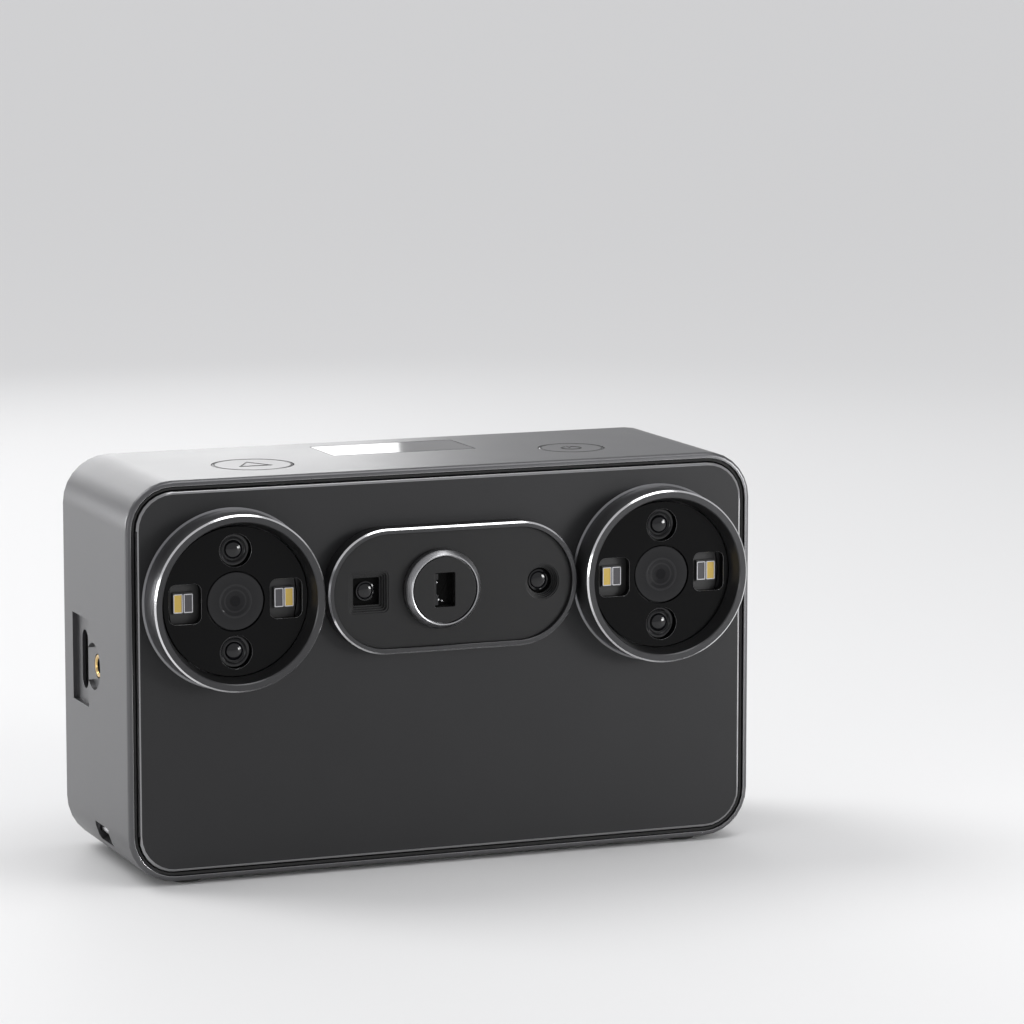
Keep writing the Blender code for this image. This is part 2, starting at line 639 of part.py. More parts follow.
def cut_top(frame):
    for name, x, radius in button_places():
        hole = drum(name + "_hole", radius + GAP, -WALL - OVERRUN, OVERRUN, ROUND_STEPS, CUTTERS)
        cut(frame, place(hole, "top", x=x, y=FRONT + BUTTON_DEPTH))
    outline = rounded_outline(TOP_PANEL_WIDTH + GAP, TOP_PANEL_DEPTH + GAP, TOP_PANEL_CORNER, SMALL_STEPS)
    pocket = prism("top_panel_pocket", outline, -TOP_PANEL_THICKNESS - GAP / 2, OVERRUN, CUTTERS)
    cut(frame, place(pocket, "top", y=FRONT + TOP_PANEL_AT))
    low = button_board_top() + GAP
    for side in (-1, 1):
        post = drum("board_post", POST_RADIUS, low, -WALL / 2, SMALL_ROUND_STEPS, CUTTERS)
        join(frame, place(post, "top", x=side * POST_OFFSET, y=FRONT + BUTTON_DEPTH))


def socket_outline():
    return rounded_outline(SOCKET_WIDTH, SOCKET_HEIGHT, SOCKET_WIDTH / 2, SMALL_STEPS)


def cut_cable_end(frame):
    recess = prism("socket_recess", rounded_outline(SOCKET_RECESS_WIDTH, SOCKET_RECESS_HEIGHT),
                   -SOCKET_RECESS_SINK, OVERRUN, CUTTERS)
    cut(frame, place(recess, "left", y=FRONT + SOCKET_DEPTH, z=MIDDLE))
    dish = drum("dish", DISH_RADIUS, -SOCKET_RECESS_SINK, OVERRUN, ROUND_STEPS, CUTTERS)
    cut(frame, place(dish, "left", y=FRONT + DISH_DEPTH, z=MIDDLE))
    boss_end = -WALL - INSERT_BOSS_LENGTH
    boss = drum("insert_boss", INSERT_BOSS_RADIUS, boss_end, -WALL + SOCKET_RECESS_SINK / 2,
                SMALL_ROUND_STEPS, CUTTERS)
    join(frame, place(boss, "left", y=FRONT + DISH_DEPTH, z=MIDDLE))
    hole = drum("insert_hole", INSERT_RADIUS + GAP, boss_end - OVERRUN, OVERRUN, SMALL_ROUND_STEPS, CUTTERS)
    cut(frame, place(hole, "left", y=FRONT + DISH_DEPTH, z=MIDDLE))
    socket = prism("socket_hole", socket_outline(), -WALL - OVERRUN, OVERRUN, CUTTERS)
    cut(frame, place(socket, "left", y=FRONT + SOCKET_DEPTH, z=MIDDLE))


def face_corner(item):
    """Stand a solid at the centre of the lower -X corner's arc, with its local Z towards the slot."""
    item.rotation_euler = (0, -math.pi / 2 - LANYARD_ANGLE, 0)
    item.location = (-HALF_WIDTH + CORNER_RADIUS, FRONT + LANYARD_DEPTH, BOTTOM + CORNER_RADIUS)
    return item


def lay_in_corner(item, sink):
    """Lay a round solid along Y, behind the slot and under the corner's arc by a depth."""
    reach = CORNER_RADIUS - sink
    x = -HALF_WIDTH + CORNER_RADIUS - reach * math.cos(LANYARD_ANGLE)
    z = BOTTOM + CORNER_RADIUS - reach * math.sin(LANYARD_ANGLE)
    item.rotation_euler = SIDE_TURNS["front"]
    item.location = (x, FRONT + LANYARD_DEPTH, z)
    return item


def cut_lanyard_slot(frame):
    length = LANYARD_WIDTH + LANYARD_SHELL_WALL * 2
    shell = drum("lanyard_shell", LANYARD_SHELL_RADIUS, -length / 2, length / 2, ROUND_STEPS, CUTTERS)
    join(frame, lay_in_corner(shell, LANYARD_SHELL_SINK))
    outline = rounded_outline(LANYARD_MOUTH, LANYARD_WIDTH)
    pocket = prism("lanyard_pocket", outline, CORNER_RADIUS - LANYARD_POCKET,
                   CORNER_RADIUS + OVERRUN, CUTTERS)
    cut(frame, face_corner(pocket))
    bar_length = LANYARD_WIDTH + LANYARD_BAR_SEAT * 2
    bore = drum("lanyard_bore", LANYARD_BAR_RADIUS + GAP, -bar_length / 2 - GAP, bar_length / 2 + GAP,
                SMALL_ROUND_STEPS, CUTTERS)
    cut(frame, lay_bar(bore))


def lay_bar(item):
    """Lay a round bar across the lanyard slot, under the mouth."""
    return lay_in_corner(item, LANYARD_BAR_SINK)


def cut_bottom(frame):
    for name, x, y in foot_places():
        seat = drum(name + "_seat", FOOT_RADIUS + GAP, -FOOT_SEAT, OVERRUN, ROUND_STEPS, CUTTERS)
        cut(frame, place(seat, "bottom", x=x, y=y))
    boss = drum("bush_boss", BUSH_BOSS_RADIUS, -BUSH_LENGTH, -WALL / 2, ROUND_STEPS, CUTTERS)
    join(frame, place(boss, "bottom", y=FRONT + BUSH_DEPTH))
    hole = drum("bush_hole", BUSH_RADIUS + GAP, -BUSH_LENGTH - OVERRUN, OVERRUN, ROUND_STEPS, CUTTERS)
    cut(frame, place(hole, "bottom", y=FRONT + BUSH_DEPTH))


def add_screw_lugs(frame):
    for name, x, z in screw_places():
        outline = rounded_outline(LUG_WIDTH, LUG_HEIGHT)
        side = 1 if x > 0 else -1
        lug_x = side * (HALF_WIDTH - WALL / 2 - LUG_WIDTH / 2)
        lug = prism(name + "_lug", outline, CHASSIS_BACK - GAP - LUG_LENGTH, CHASSIS_BACK - GAP, CUTTERS)
        join(frame, place(lug, "front", x=lug_x, z=z))
        hole = drum(name + "_hole", SCREW_RADIUS + GAP, CHASSIS_BACK - GAP - LUG_LENGTH - OVERRUN,
                    CHASSIS_FRONT, SMALL_ROUND_STEPS, CUTTERS)
        cut(frame, place(hole, "front", x=x, z=z))


def make_frame():
    sections = [(body_outline(inset), level) for inset, level in frame_section()]
    frame = place(loft("middle_frame", sections, closed=True), "front", z=MIDDLE)
    add_screw_lugs(frame)
    cut_switch_end(frame)
    cut_door_end(frame)
    add_hinge_ears(frame)
    cut_top(frame)
    cut_cable_end(frame)
    cut_lanyard_slot(frame)
    cut_bottom(frame)
    finish(frame, "frame")


# Covers and gaskets
def cover_plate(name, side, margin, edge, key):
    rim = [(margin, -COVER_THICKNESS)]
    rim += fillet(margin + edge, -edge, edge, math.pi, math.pi / 2)
    sections = [(body_outline(inset), level) for inset, level in rim]
    return finish(place(loft(name, sections), side, z=MIDDLE), key)


def make_front_cover():
    cover = cover_plate("front_cover", "front", FRONT_MARGIN, FRONT_EDGE, "cover")
    for name, side in MODULES:
        hole = drum(name + "_module_hole", SPIGOT_RADIUS + GAP, -COVER_THICKNESS - OVERRUN, OVERRUN,
                    BEZEL_STEPS, CUTTERS)
        cut(cover, place(hole, "front", x=side * MODULE_X, z=MODULE_Z))
    outline = pill_outline(PILL_SPIGOT_INSET - GAP)
    hole = prism("pill_hole", outline, -COVER_THICKNESS - OVERRUN, OVERRUN, CUTTERS)
    cut(cover, place(hole, "front", x=PILL_X, z=MODULE_Z))


def glass_width():
    return DISPLAY_WIDTH + GLASS_SIDE_BORDER * 2


def glass_height():
    return DISPLAY_HEIGHT + GLASS_END_BORDER * 2


def scoop_sections():
    """The scoop's slope, from over the surface down to its floor, open past the cover's edge."""
    outer = HALF_WIDTH + OVERRUN
    slope = (SCOOP_WIDTH - SCOOP_FLOOR) / SCOOP_DEPTH
    sections = []
    for level in (OVERRUN, 0, -SCOOP_DEPTH):
        depth = max(-level, 0)
        inner = HALF_WIDTH - BACK_MARGIN - SCOOP_WIDTH + slope * depth
        height = SCOOP_HEIGHT + SCOOP_END * 2 * (1 - depth / SCOOP_DEPTH)
        reach = outer - inner + SCOOP_CORNER
        sections.append((rounded_outline(reach, height, SCOOP_CORNER, SMALL_STEPS,
                                         (inner + reach / 2, 0)), level))
    return sections


def make_back_cover():
    cover = cover_plate("back_cover", "back", BACK_MARGIN, BACK_EDGE, "cover")
    scoop_z = MIDDLE + SCOOP_RISE
    width = SCOOP_WIDTH + SCOOP_WALL
    outline = rounded_outline(width, SCOOP_HEIGHT + (SCOOP_END + SCOOP_WALL) * 2)
    block = prism("scoop_block", outline, -SCOOP_DEPTH - SCOOP_WALL, -COVER_THICKNESS / 2, CUTTERS)
    join(cover, place(block, "back", x=-HALF_WIDTH + BACK_MARGIN + width / 2, z=scoop_z))
    cut(cover, place(loft("scoop", scoop_sections(), collection=CUTTERS), "back", z=scoop_z))
    pocket_outline = rounded_outline(glass_width() + GAP, glass_height() + GAP, GLASS_CORNER)
    pocket = prism("glass_pocket", pocket_outline, -GLASS_THICKNESS - GAP, OVERRUN, CUTTERS)
    cut(cover, place(pocket, "back", z=MIDDLE))
    border = (DISPLAY_BORDER + GAP) * 2
    hole_outline = rounded_outline(DISPLAY_WIDTH + border, DISPLAY_HEIGHT + border)
    hole = prism("display_hole", hole_outline, -COVER_THICKNESS - OVERRUN, OVERRUN, CUTTERS)
    cut(cover, place(hole, "back", x=-DISPLAY_OFFSET, z=MIDDLE))


def gasket(name, side, inset, high):
    outer = body_outline(inset)
    inner = body_outline(inset + GASKET_WIDTH)
    low = high - GASKET_DEPTH
    sections = [(outer, low), (outer, high), (inner, high), (inner, low)]
    finish(place(loft(name, sections, closed=True), side, z=MIDDLE), "seal")


def make_gaskets():
    groove_middle = (LIP + FRONT_MARGIN) / 2 - GASKET_WIDTH / 2
    gasket("front_gasket", "front", groove_middle, GASKET_DEPTH + GAP - SHELF_DEPTH)
    gasket("back_gasket", "back", (WALL + BACK_MARGIN - GASKET_WIDTH) / 2, -BACK_GASKET_SINK)


# Camera modules
def bezel_profile():
    """Section of a round bezel: spigot, base, rim, mouth, seat of the black plate and bore."""
    rim = BEZEL_HEIGHT
    mouth = BEZEL_RADIUS - BEZEL_RIM_WIDTH
    seat = MODULE_PLATE_RADIUS + GAP
    return [
        (BEZEL_RADIUS - BEZEL_RIM_EDGE, rim),
        (BEZEL_RADIUS, rim - BEZEL_RIM_EDGE),
        (BEZEL_RADIUS, GAP + BEZEL_BASE_FILLET),
        (BEZEL_BASE_RADIUS, GAP + BEZEL_BASE_FILLET / 2),
        (BEZEL_BASE_RADIUS, GAP),
        (SPIGOT_RADIUS, GAP),
        (SPIGOT_RADIUS, -SPIGOT_LENGTH),
        (MODULE_BORE_RADIUS, -SPIGOT_LENGTH),
        (MODULE_BORE_RADIUS, MODULE_PLATE_BACK - GAP),
        (seat, MODULE_PLATE_BACK - GAP),
        (seat, MODULE_PLATE_FRONT),
        (mouth, rim - BEZEL_MOUTH_EDGE),
        (mouth + BEZEL_MOUTH_EDGE, rim),
    ]


def make_bezel(name, x):
    bezel = turned(name + "_bezel", bezel_profile(), BEZEL_STEPS, loop=True)
    finish(place(bezel, "front", x=x, z=MODULE_Z), "bezel")


def make_module_plate(name, x):
    plate = drum(name + "_module_plate", MODULE_PLATE_RADIUS, MODULE_PLATE_BACK, MODULE_PLATE_FRONT,
                 BEZEL_STEPS)
    low, high = MODULE_PLATE_BACK - OVERRUN, MODULE_PLATE_FRONT + OVERRUN
    hole = drum(name + "_window_hole", CAMERA_WINDOW_RADIUS + GAP, low, high, ROUND_STEPS, CUTTERS)
    cut(plate, place(hole, "front", x=x, z=MODULE_Z))
    for turn in (-1, 1):
        hole = drum(name + "_lamp_hole", LAMP_HOLE_RADIUS, low, high, SMALL_ROUND_STEPS, CUTTERS)
        cut(plate, place(hole, "front", x=x, z=MODULE_Z + turn * LAMP_LENS_OFFSET))
        outline = rounded_outline(FLASH_WINDOW_WIDTH, FLASH_WINDOW_HEIGHT, FLASH_WINDOW_CORNER, SMALL_STEPS)
        hole = prism(name + "_flash_hole", outline, low, high, CUTTERS)
        cut(plate, place(hole, "front", x=x + turn * FLASH_OFFSET, z=MODULE_Z))
    finish(place(plate, "front", x=x, z=MODULE_Z), "black")


def make_camera_window(name, x):
    high = MODULE_PLATE_FRONT - CAMERA_WINDOW_SINK
    window = drum(name + "_camera_window", CAMERA_WINDOW_RADIUS, high - CAMERA_WINDOW_THICKNESS, high)
    finish(place(window, "front", x=x, z=MODULE_Z), "lens")


def make_lamp_lenses(name, x):
    base = LAMP_BOARD_FRONT + GAP
    shoulder = base + LAMP_FLANGE
    profile = [(0, shoulder + LAMP_DOME_HEIGHT)]
    for step in range(1, SMALL_STEPS + 1):
        angle = math.pi / 2 * step / SMALL_STEPS
        profile.append((LAMP_DOME_RADIUS * math.sin(angle), shoulder + LAMP_DOME_HEIGHT * math.cos(angle)))
    profile += [(LAMP_LENS_RADIUS, shoulder), (LAMP_LENS_RADIUS, base), (0, base)]
    for word, turn in (("lower", -1), ("upper", 1)):
        lens = turned(name + "_" + word + "_lamp", profile, SMALL_ROUND_STEPS)
        finish(place(lens, "front", x=x, z=MODULE_Z + turn * LAMP_LENS_OFFSET), "lamp")


def make_flashes(name, side, x):
    """Two lamps with a pair of chips each, on the lamp board inside the square windows."""
    base = LAMP_BOARD_FRONT + GAP
    top = base + FLASH_BASE_THICKNESS
    for word, turn in (("inner", -1), ("outer", 1)):
        outline = rounded_outline(FLASH_BASE_WIDTH, FLASH_BASE_HEIGHT)
        flash = prism(name + "_" + word + "_flash", outline, base, top)
        flash_x = x + side * turn * FLASH_OFFSET
        for chip_turn in (-1, 1):
            chip_outline = rounded_outline(FLASH_CHIP_WIDTH, FLASH_CHIP_HEIGHT)
            chip = prism("flash_chip", chip_outline, top - FLASH_CHIP_OVERLAP, top + FLASH_CHIP_RISE,
                         CUTTERS)
            join(flash, place(chip, "front", x=flash_x + chip_turn * FLASH_BASE_WIDTH / 4, z=MODULE_Z))
        finish(place(flash, "front", x=flash_x, z=MODULE_Z), "chip")


def make_lamp_board(name, x):
    outer, inner = MODULE_BORE_RADIUS - GAP, BARREL_RADIUS + GAP
    profile = [(outer, LAMP_BOARD_FRONT), (outer, LAMP_BOARD_BACK),
               (inner, LAMP_BOARD_BACK), (inner, LAMP_BOARD_FRONT)]
    board = turned(name + "_lamp_board", profile, ROUND_STEPS, loop=True)
    finish(place(board, "front", x=x, z=MODULE_Z), "board")


def make_camera_body(name, x):
    front = -SPIGOT_LENGTH - GAP
    barrel_top = MODULE_PLATE_FRONT - CAMERA_WINDOW_SINK - CAMERA_WINDOW_THICKNESS - GAP
    boss_top = LAMP_BOARD_BACK - GAP
    outline = rounded_outline(CAMERA_BODY_SIZE, CAMERA_BODY_SIZE, CAMERA_BODY_CORNER, SMALL_STEPS)
    body = prism(name + "_camera_body", outline, CHASSIS_FRONT + GAP, front)
    boss_radius = MODULE_BORE_RADIUS - GAP
    profile = [(0, barrel_top), (BARREL_RADIUS, barrel_top), (BARREL_RADIUS, boss_top),
               (boss_radius, boss_top), (boss_radius, front - OVERRUN), (0, front - OVERRUN)]
    boss = turned(name + "_camera_boss", profile, ROUND_STEPS, collection=CUTTERS)
    join(body, place(boss, "front", x=x, z=MODULE_Z))
    finish(place(body, "front", x=x, z=MODULE_Z), "metal")


def make_modules():
    for name, side in MODULES:
        x = side * MODULE_X
        make_bezel(name, x)
        make_module_plate(name, x)
        make_camera_window(name, x)
        make_lamp_lenses(name, x)
        make_flashes(name, side, x)
        make_lamp_board(name, x)
        make_camera_body(name, x)


# Centre module
def pill_outline(inset):
    return rounded_outline(PILL_LENGTH - inset * 2, PILL_HEIGHT - inset * 2, PILL_HEIGHT / 2 - inset)


def make_centre_bezel():
    edge = PILL_RIM_EDGE
    rim = [
        (0, GAP), (0, PILL_RISE - edge), (edge, PILL_RISE),
        (PILL_RIM_WIDTH - edge / 2, PILL_RISE), (PILL_RIM_WIDTH, PILL_RISE - edge / 2),
        (PILL_RIM_WIDTH, LEDGE_LEVEL), (PILL_LEDGE_INSET, LEDGE_LEVEL),
        (PILL_LEDGE_INSET, -SPIGOT_LENGTH), (PILL_SPIGOT_INSET, -SPIGOT_LENGTH), (PILL_SPIGOT_INSET, GAP),
    ]
    sections = [(pill_outline(inset), level) for inset, level in rim]
    bezel = loft("centre_bezel", sections, closed=True)
    finish(place(bezel, "front", x=PILL_X, z=MODULE_Z), "bezel")


def make_centre_window():
    window = prism("centre_window", pill_outline(PILL_RIM_WIDTH + GAP), WINDOW_BACK, WINDOW_FRONT)
    hole = drum("projector_hole", PROJECTOR_TUBE_RADIUS + GAP, WINDOW_BACK - OVERRUN, WINDOW_FRONT + OVERRUN,
                ROUND_STEPS, CUTTERS)
    cut(window, place(hole, "front", x=PROJECTOR_X, z=MODULE_Z))
    step_depth = WINDOW_THICKNESS / FUNNEL_STEPS
    for step in range(FUNNEL_STEPS):
        share = step / (FUNNEL_STEPS - 1)
        low = WINDOW_FRONT - step_depth * (step + 1)
        if step == FUNNEL_STEPS - 1:
            low -= OVERRUN
        size = SQUARE_FUNNEL_MOUTH + (SQUARE_FUNNEL_THROAT - SQUARE_FUNNEL_MOUTH) * share
        outline = rounded_outline(size, size, SQUARE_FUNNEL_CORNER, SMALL_STEPS)
        hole = prism("square_funnel", outline, low, WINDOW_FRONT + OVERRUN, CUTTERS)
        cut(window, place(hole, "front", x=SQUARE_CAMERA_X, z=MODULE_Z))
        radius = ROUND_FUNNEL_MOUTH + (ROUND_FUNNEL_THROAT - ROUND_FUNNEL_MOUTH) * share
        hole = drum("round_funnel", radius, low, WINDOW_FRONT + OVERRUN, SMALL_ROUND_STEPS, CUTTERS)
        cut(window, place(hole, "front", x=ROUND_CAMERA_X, z=MODULE_Z))
    finish(place(window, "front", x=PILL_X, z=MODULE_Z), "black")


def make_projector():
    rim = WINDOW_FRONT + PROJECTOR_RISE
    base = WINDOW_FRONT + GAP
    disc_front = rim - PROJECTOR_DISC_SINK
    ledge = disc_front - PROJECTOR_DISC_THICKNESS - GAP
    end = rim - PROJECTOR_TUBE_LENGTH
    ring_profile = [
        (PROJECTOR_RADIUS - PROJECTOR_CHAMFER_INSET, rim), (PROJECTOR_RADIUS, rim - PROJECTOR_CHAMFER),
        (PROJECTOR_RADIUS, base), (PROJECTOR_TUBE_RADIUS, base), (PROJECTOR_TUBE_RADIUS, end),
        (PROJECTOR_LEDGE_RADIUS, end), (PROJECTOR_LEDGE_RADIUS, ledge), (PROJECTOR_BORE_RADIUS, ledge),
        (PROJECTOR_BORE_RADIUS, rim),
    ]
    ring = turned("projector_ring", ring_profile, ROUND_STEPS, loop=True)
    finish(place(ring, "front", x=PROJECTOR_X, z=MODULE_Z), "metal")
    disc = drum("projector_disc", PROJECTOR_BORE_RADIUS - GAP, disc_front - PROJECTOR_DISC_THICKNESS,
                disc_front, ROUND_STEPS)
    outline = rounded_outline(PROJECTOR_WINDOW_WIDTH, PROJECTOR_WINDOW_HEIGHT)
    window = prism("projector_window", outline, ledge, rim + OVERRUN, CUTTERS)
    cut(disc, place(window, "front", x=PROJECTOR_X, z=MODULE_Z))
    finish(place(disc, "front", x=PROJECTOR_X, z=MODULE_Z), "black")
    size = PROJECTOR_BODY_SIZE
    outline = rounded_outline(size, size, PROJECTOR_BODY_CORNER, SMALL_STEPS)
    body = prism("projector_body", outline, CHASSIS_FRONT + GAP, -SPIGOT_LENGTH - GAP)
    nose = drum("projector_nose", PROJECTOR_LEDGE_RADIUS - GAP, -SPIGOT_LENGTH - GAP - OVERRUN,
                ledge - GAP, ROUND_STEPS, CUTTERS)
    join(body, place(nose, "front", x=PROJECTOR_X, z=MODULE_Z))
    finish(place(body, "front", x=PROJECTOR_X, z=MODULE_Z), "metal")


def make_small_cameras():
    front = WINDOW_BACK - GAP
    outline = rounded_outline(SQUARE_CAMERA_SIZE, SQUARE_CAMERA_SIZE)
    square = prism("square_camera", outline, CHASSIS_FRONT + GAP, front)
    finish(place(square, "front", x=SQUARE_CAMERA_X, z=MODULE_Z), "black")
    back = CHASSIS_FRONT + GAP
    inner = ROUND_FUNNEL_THROAT - GAP
    profile = [(0, front + LENS_BULGE), (inner / 2, front + LENS_BULGE), (inner, front),
               (ROUND_CAMERA_RADIUS, front), (ROUND_CAMERA_RADIUS, back), (0, back)]
    lens = turned("round_camera", profile, SMALL_ROUND_STEPS)
    finish(place(lens, "front", x=ROUND_CAMERA_X, z=MODULE_Z), "lens")


# Chassis, screws, boards and heat sink
def screw_places():
    x = HALF_WIDTH - SCREW_SIDE_MARGIN
    upper = TOP - UPPER_SCREW_MARGIN
    lower = BOTTOM + LOWER_SCREW_MARGIN
    bay_side = BAY_TOP + GAP + LUG_HEIGHT / 2 + LUG_MARGIN
    return (("upper_left_screw", -x, upper), ("lower_left_screw", -x, lower),
            ("upper_right_screw", x, upper), ("lower_right_screw", x, bay_side))


def make_chassis():
    low = BOTTOM + CHASSIS_BOTTOM_MARGIN
    high = TOP - CHASSIS_TOP_MARGIN
    width = (HALF_WIDTH - WALL - GAP) * 2
    outline = rounded_outline(width, high - low, CHASSIS_CORNER)
    chassis = prism("chassis_plate", outline, CHASSIS_BACK, CHASSIS_FRONT)
    notch_low = BAY_END_X - GAP
    notch_high = BAY_TOP + GAP
    notch = prism("bay_notch", rounded_outline(HALF_WIDTH - notch_low, notch_high),
                  CHASSIS_BACK - OVERRUN, CHASSIS_FRONT + OVERRUN, CUTTERS)
    cut(chassis, place(notch, "front", x=(HALF_WIDTH + notch_low) / 2, z=notch_high / 2))
    switch_reach = SWITCH_BODY_THICKNESS + GAP - switch_level()
    notch = prism("switch_notch", rounded_outline(switch_reach, SWITCH_BODY_SIZE + GAP * 2),
                  CHASSIS_BACK - OVERRUN, CHASSIS_FRONT + OVERRUN, CUTTERS)
    cut(chassis, place(notch, "front", x=HALF_WIDTH - switch_reach / 2, z=SWITCH_PANEL_Z))
    for name, x, z in screw_places():
        hole = drum(name + "_clearance", SCREW_RADIUS + GAP, CHASSIS_BACK - OVERRUN, CHASSIS_FRONT + OVERRUN,
                    SMALL_ROUND_STEPS, CUTTERS)
        cut(chassis, place(hole, "front", x=x, z=z))
    for x, z in standoff_places():
        post = drum("standoff", STANDOFF_RADIUS, GAP - BOARD_DEPTH, CHASSIS_FRONT - CHASSIS_THICKNESS / 2,
                    SMALL_ROUND_STEPS, CUTTERS)
        join(chassis, place(post, "front", x=x, z=z))
    finish(place(chassis, "front", z=(low + high) / 2), "metal")


def board_edges():
    """Left, right, low and high edges of the main board, which ends at the cable socket's body."""
    side = HALF_WIDTH - WALL - GAP - SOCKET_BODY_LENGTH - GAP
    return -side, side, BOTTOM + BOARD_MARGIN + CHASSIS_TOP_MARGIN, TOP - BOARD_MARGIN


def standoff_places():
    left, right, low, high = board_edges()
    lower_right = BAY_END_X - GAP - STANDOFF_MARGIN
    inner_left = left + STANDOFF_MARGIN
    return ((inner_left, low + STANDOFF_MARGIN), (lower_right, low + STANDOFF_MARGIN),
            (inner_left, high - STANDOFF_MARGIN), (right - STANDOFF_MARGIN, high - STANDOFF_MARGIN))


def make_main_board():
    left, right, low, high = board_edges()
    outline = rounded_outline(right - left, high - low, BOARD_CORNER, SMALL_STEPS)
    board = prism("main_board", outline, -BOARD_DEPTH - BOARD_THICKNESS, -BOARD_DEPTH)
    finish(place(board, "front", z=(low + high) / 2), "board")


def make_heat_sink():
    """A finned block between the chassis and the board, with its fins towards the chassis."""
    centre_x = board_edges()[0] + HEAT_SINK_MARGIN + HEAT_SINK_WIDTH / 2
    front = CHASSIS_BACK - GAP
    back = GAP - BOARD_DEPTH
    sink = prism("heat_sink", rounded_outline(HEAT_SINK_WIDTH, HEAT_SINK_HEIGHT), back, front)
    pitch = (HEAT_SINK_WIDTH - HEAT_SINK_FIN) / (HEAT_SINK_FINS - 1)
    slot_width = pitch - HEAT_SINK_FIN
    for slot in range(HEAT_SINK_FINS - 1):
        offset = -HEAT_SINK_WIDTH / 2 + HEAT_SINK_FIN + pitch * slot + slot_width / 2
        outline = rounded_outline(slot_width, HEAT_SINK_HEIGHT + OVERRUN * 2)
        tool = prism("fin_slot", outline, back + HEAT_SINK_BASE, front + OVERRUN, CUTTERS)
        cut(sink, place(tool, "front", x=centre_x + offset, z=MIDDLE))
    finish(place(sink, "front", x=centre_x, z=MIDDLE), "metal")


def make_screws():
    head = CHASSIS_FRONT + GAP
    top = head + SCREW_HEAD_HEIGHT
    profile = [(0, top), (SCREW_HEAD_RADIUS, top), (SCREW_HEAD_RADIUS, head), (SCREW_RADIUS, head),
               (SCREW_RADIUS, head - SCREW_LENGTH), (0, head - SCREW_LENGTH)]
    for name, x, z in screw_places():
        finish(place(turned(name, profile, SMALL_ROUND_STEPS), "front", x=x, z=z), "metal")


# Screen
def glass_outline(inset):
    return rounded_outline(glass_width() - inset * 2, glass_height() - inset * 2, GLASS_CORNER - inset)


def make_screen():
    rim = [(0, -GLASS_THICKNESS), (0, -GLASS_EDGE), (GLASS_EDGE, 0)]
    sections = [(glass_outline(inset), level) for inset, level in rim]
    finish(place(loft("screen_glass", sections), "back", z=MIDDLE), "glass")
    width = DISPLAY_WIDTH + DISPLAY_BORDER * 2
    height = DISPLAY_HEIGHT + DISPLAY_BORDER * 2
    inner = rounded_outline(width, height)
    outer = rounded_outline(width + DISPLAY_FLANGE * 2, height + DISPLAY_FLANGE * 2)
    flange_top = -COVER_THICKNESS - GAP
    sections = [(outer, flange_top - DISPLAY_FLANGE_THICKNESS), (outer, flange_top), (inner, flange_top),
                (inner, -GLASS_THICKNESS - GAP)]
    display = loft("display_panel", sections)
    finish(place(display, "back", x=-DISPLAY_OFFSET, z=MIDDLE), "display")


# Switch panel, mode slider and microphone
def slider_rest_z():
    return SWITCH_PANEL_Z + SWITCH_WINDOW_HEIGHT / 2 - (SWITCH_WINDOW_HEIGHT - SLIDER_TRAVEL) / 2


def switch_level():
    """Outer face of the switch body, behind the slider's shoe."""
    return -END_PANEL_THICKNESS - GAP - SLIDER_SHOE_THICKNESS - GAP


def make_switch_panel():
    outline = rounded_outline(END_PANEL_WIDTH, SWITCH_PANEL_HEIGHT, SWITCH_PANEL_CORNER)
    panel = prism("switch_panel", outline, -END_PANEL_THICKNESS, 0)
    window_outline = rounded_outline(SWITCH_WINDOW_WIDTH, SWITCH_WINDOW_HEIGHT, SWITCH_WINDOW_CORNER,
                                     SMALL_STEPS)
    window = prism("switch_window", window_outline, -END_PANEL_THICKNESS - OVERRUN, OVERRUN, CUTTERS)
    cut(panel, place(window, "right", y=END_PANEL_Y, z=SWITCH_PANEL_Z))
    finish(place(panel, "right", y=END_PANEL_Y, z=SWITCH_PANEL_Z), "frame")


def make_mode_slider():
    shoe_top = -END_PANEL_THICKNESS - GAP
    shoe = prism("mode_slider", rounded_outline(SLIDER_SHOE_WIDTH, SLIDER_SHOE_HEIGHT),
                 shoe_top - SLIDER_SHOE_THICKNESS, shoe_top)
    knob = prism("slider_knob", rounded_outline(SLIDER_KNOB_WIDTH, SLIDER_KNOB_HEIGHT),
                 shoe_top - SLIDER_SHOE_THICKNESS / 2, -SLIDER_SINK, CUTTERS)
    join(shoe, place(knob, "right", y=END_PANEL_Y, z=slider_rest_z()))
    finish(place(shoe, "right", y=END_PANEL_Y, z=slider_rest_z()), "frame")
    high = switch_level()
    body = prism("mode_switch", rounded_outline(SWITCH_BODY_SIZE, SWITCH_BODY_SIZE),
                 high - SWITCH_BODY_THICKNESS, high)
    finish(place(body, "right", y=END_PANEL_Y, z=SWITCH_PANEL_Z), "black")


def make_microphone():
    high = -WALL - GAP
    capsule = drum("microphone", MICROPHONE_RADIUS, high - MICROPHONE_LENGTH, high, SMALL_ROUND_STEPS)
    finish(place(capsule, "right", y=PINHOLE_Y, z=TOP - PINHOLE_TOP_MARGIN), "metal")


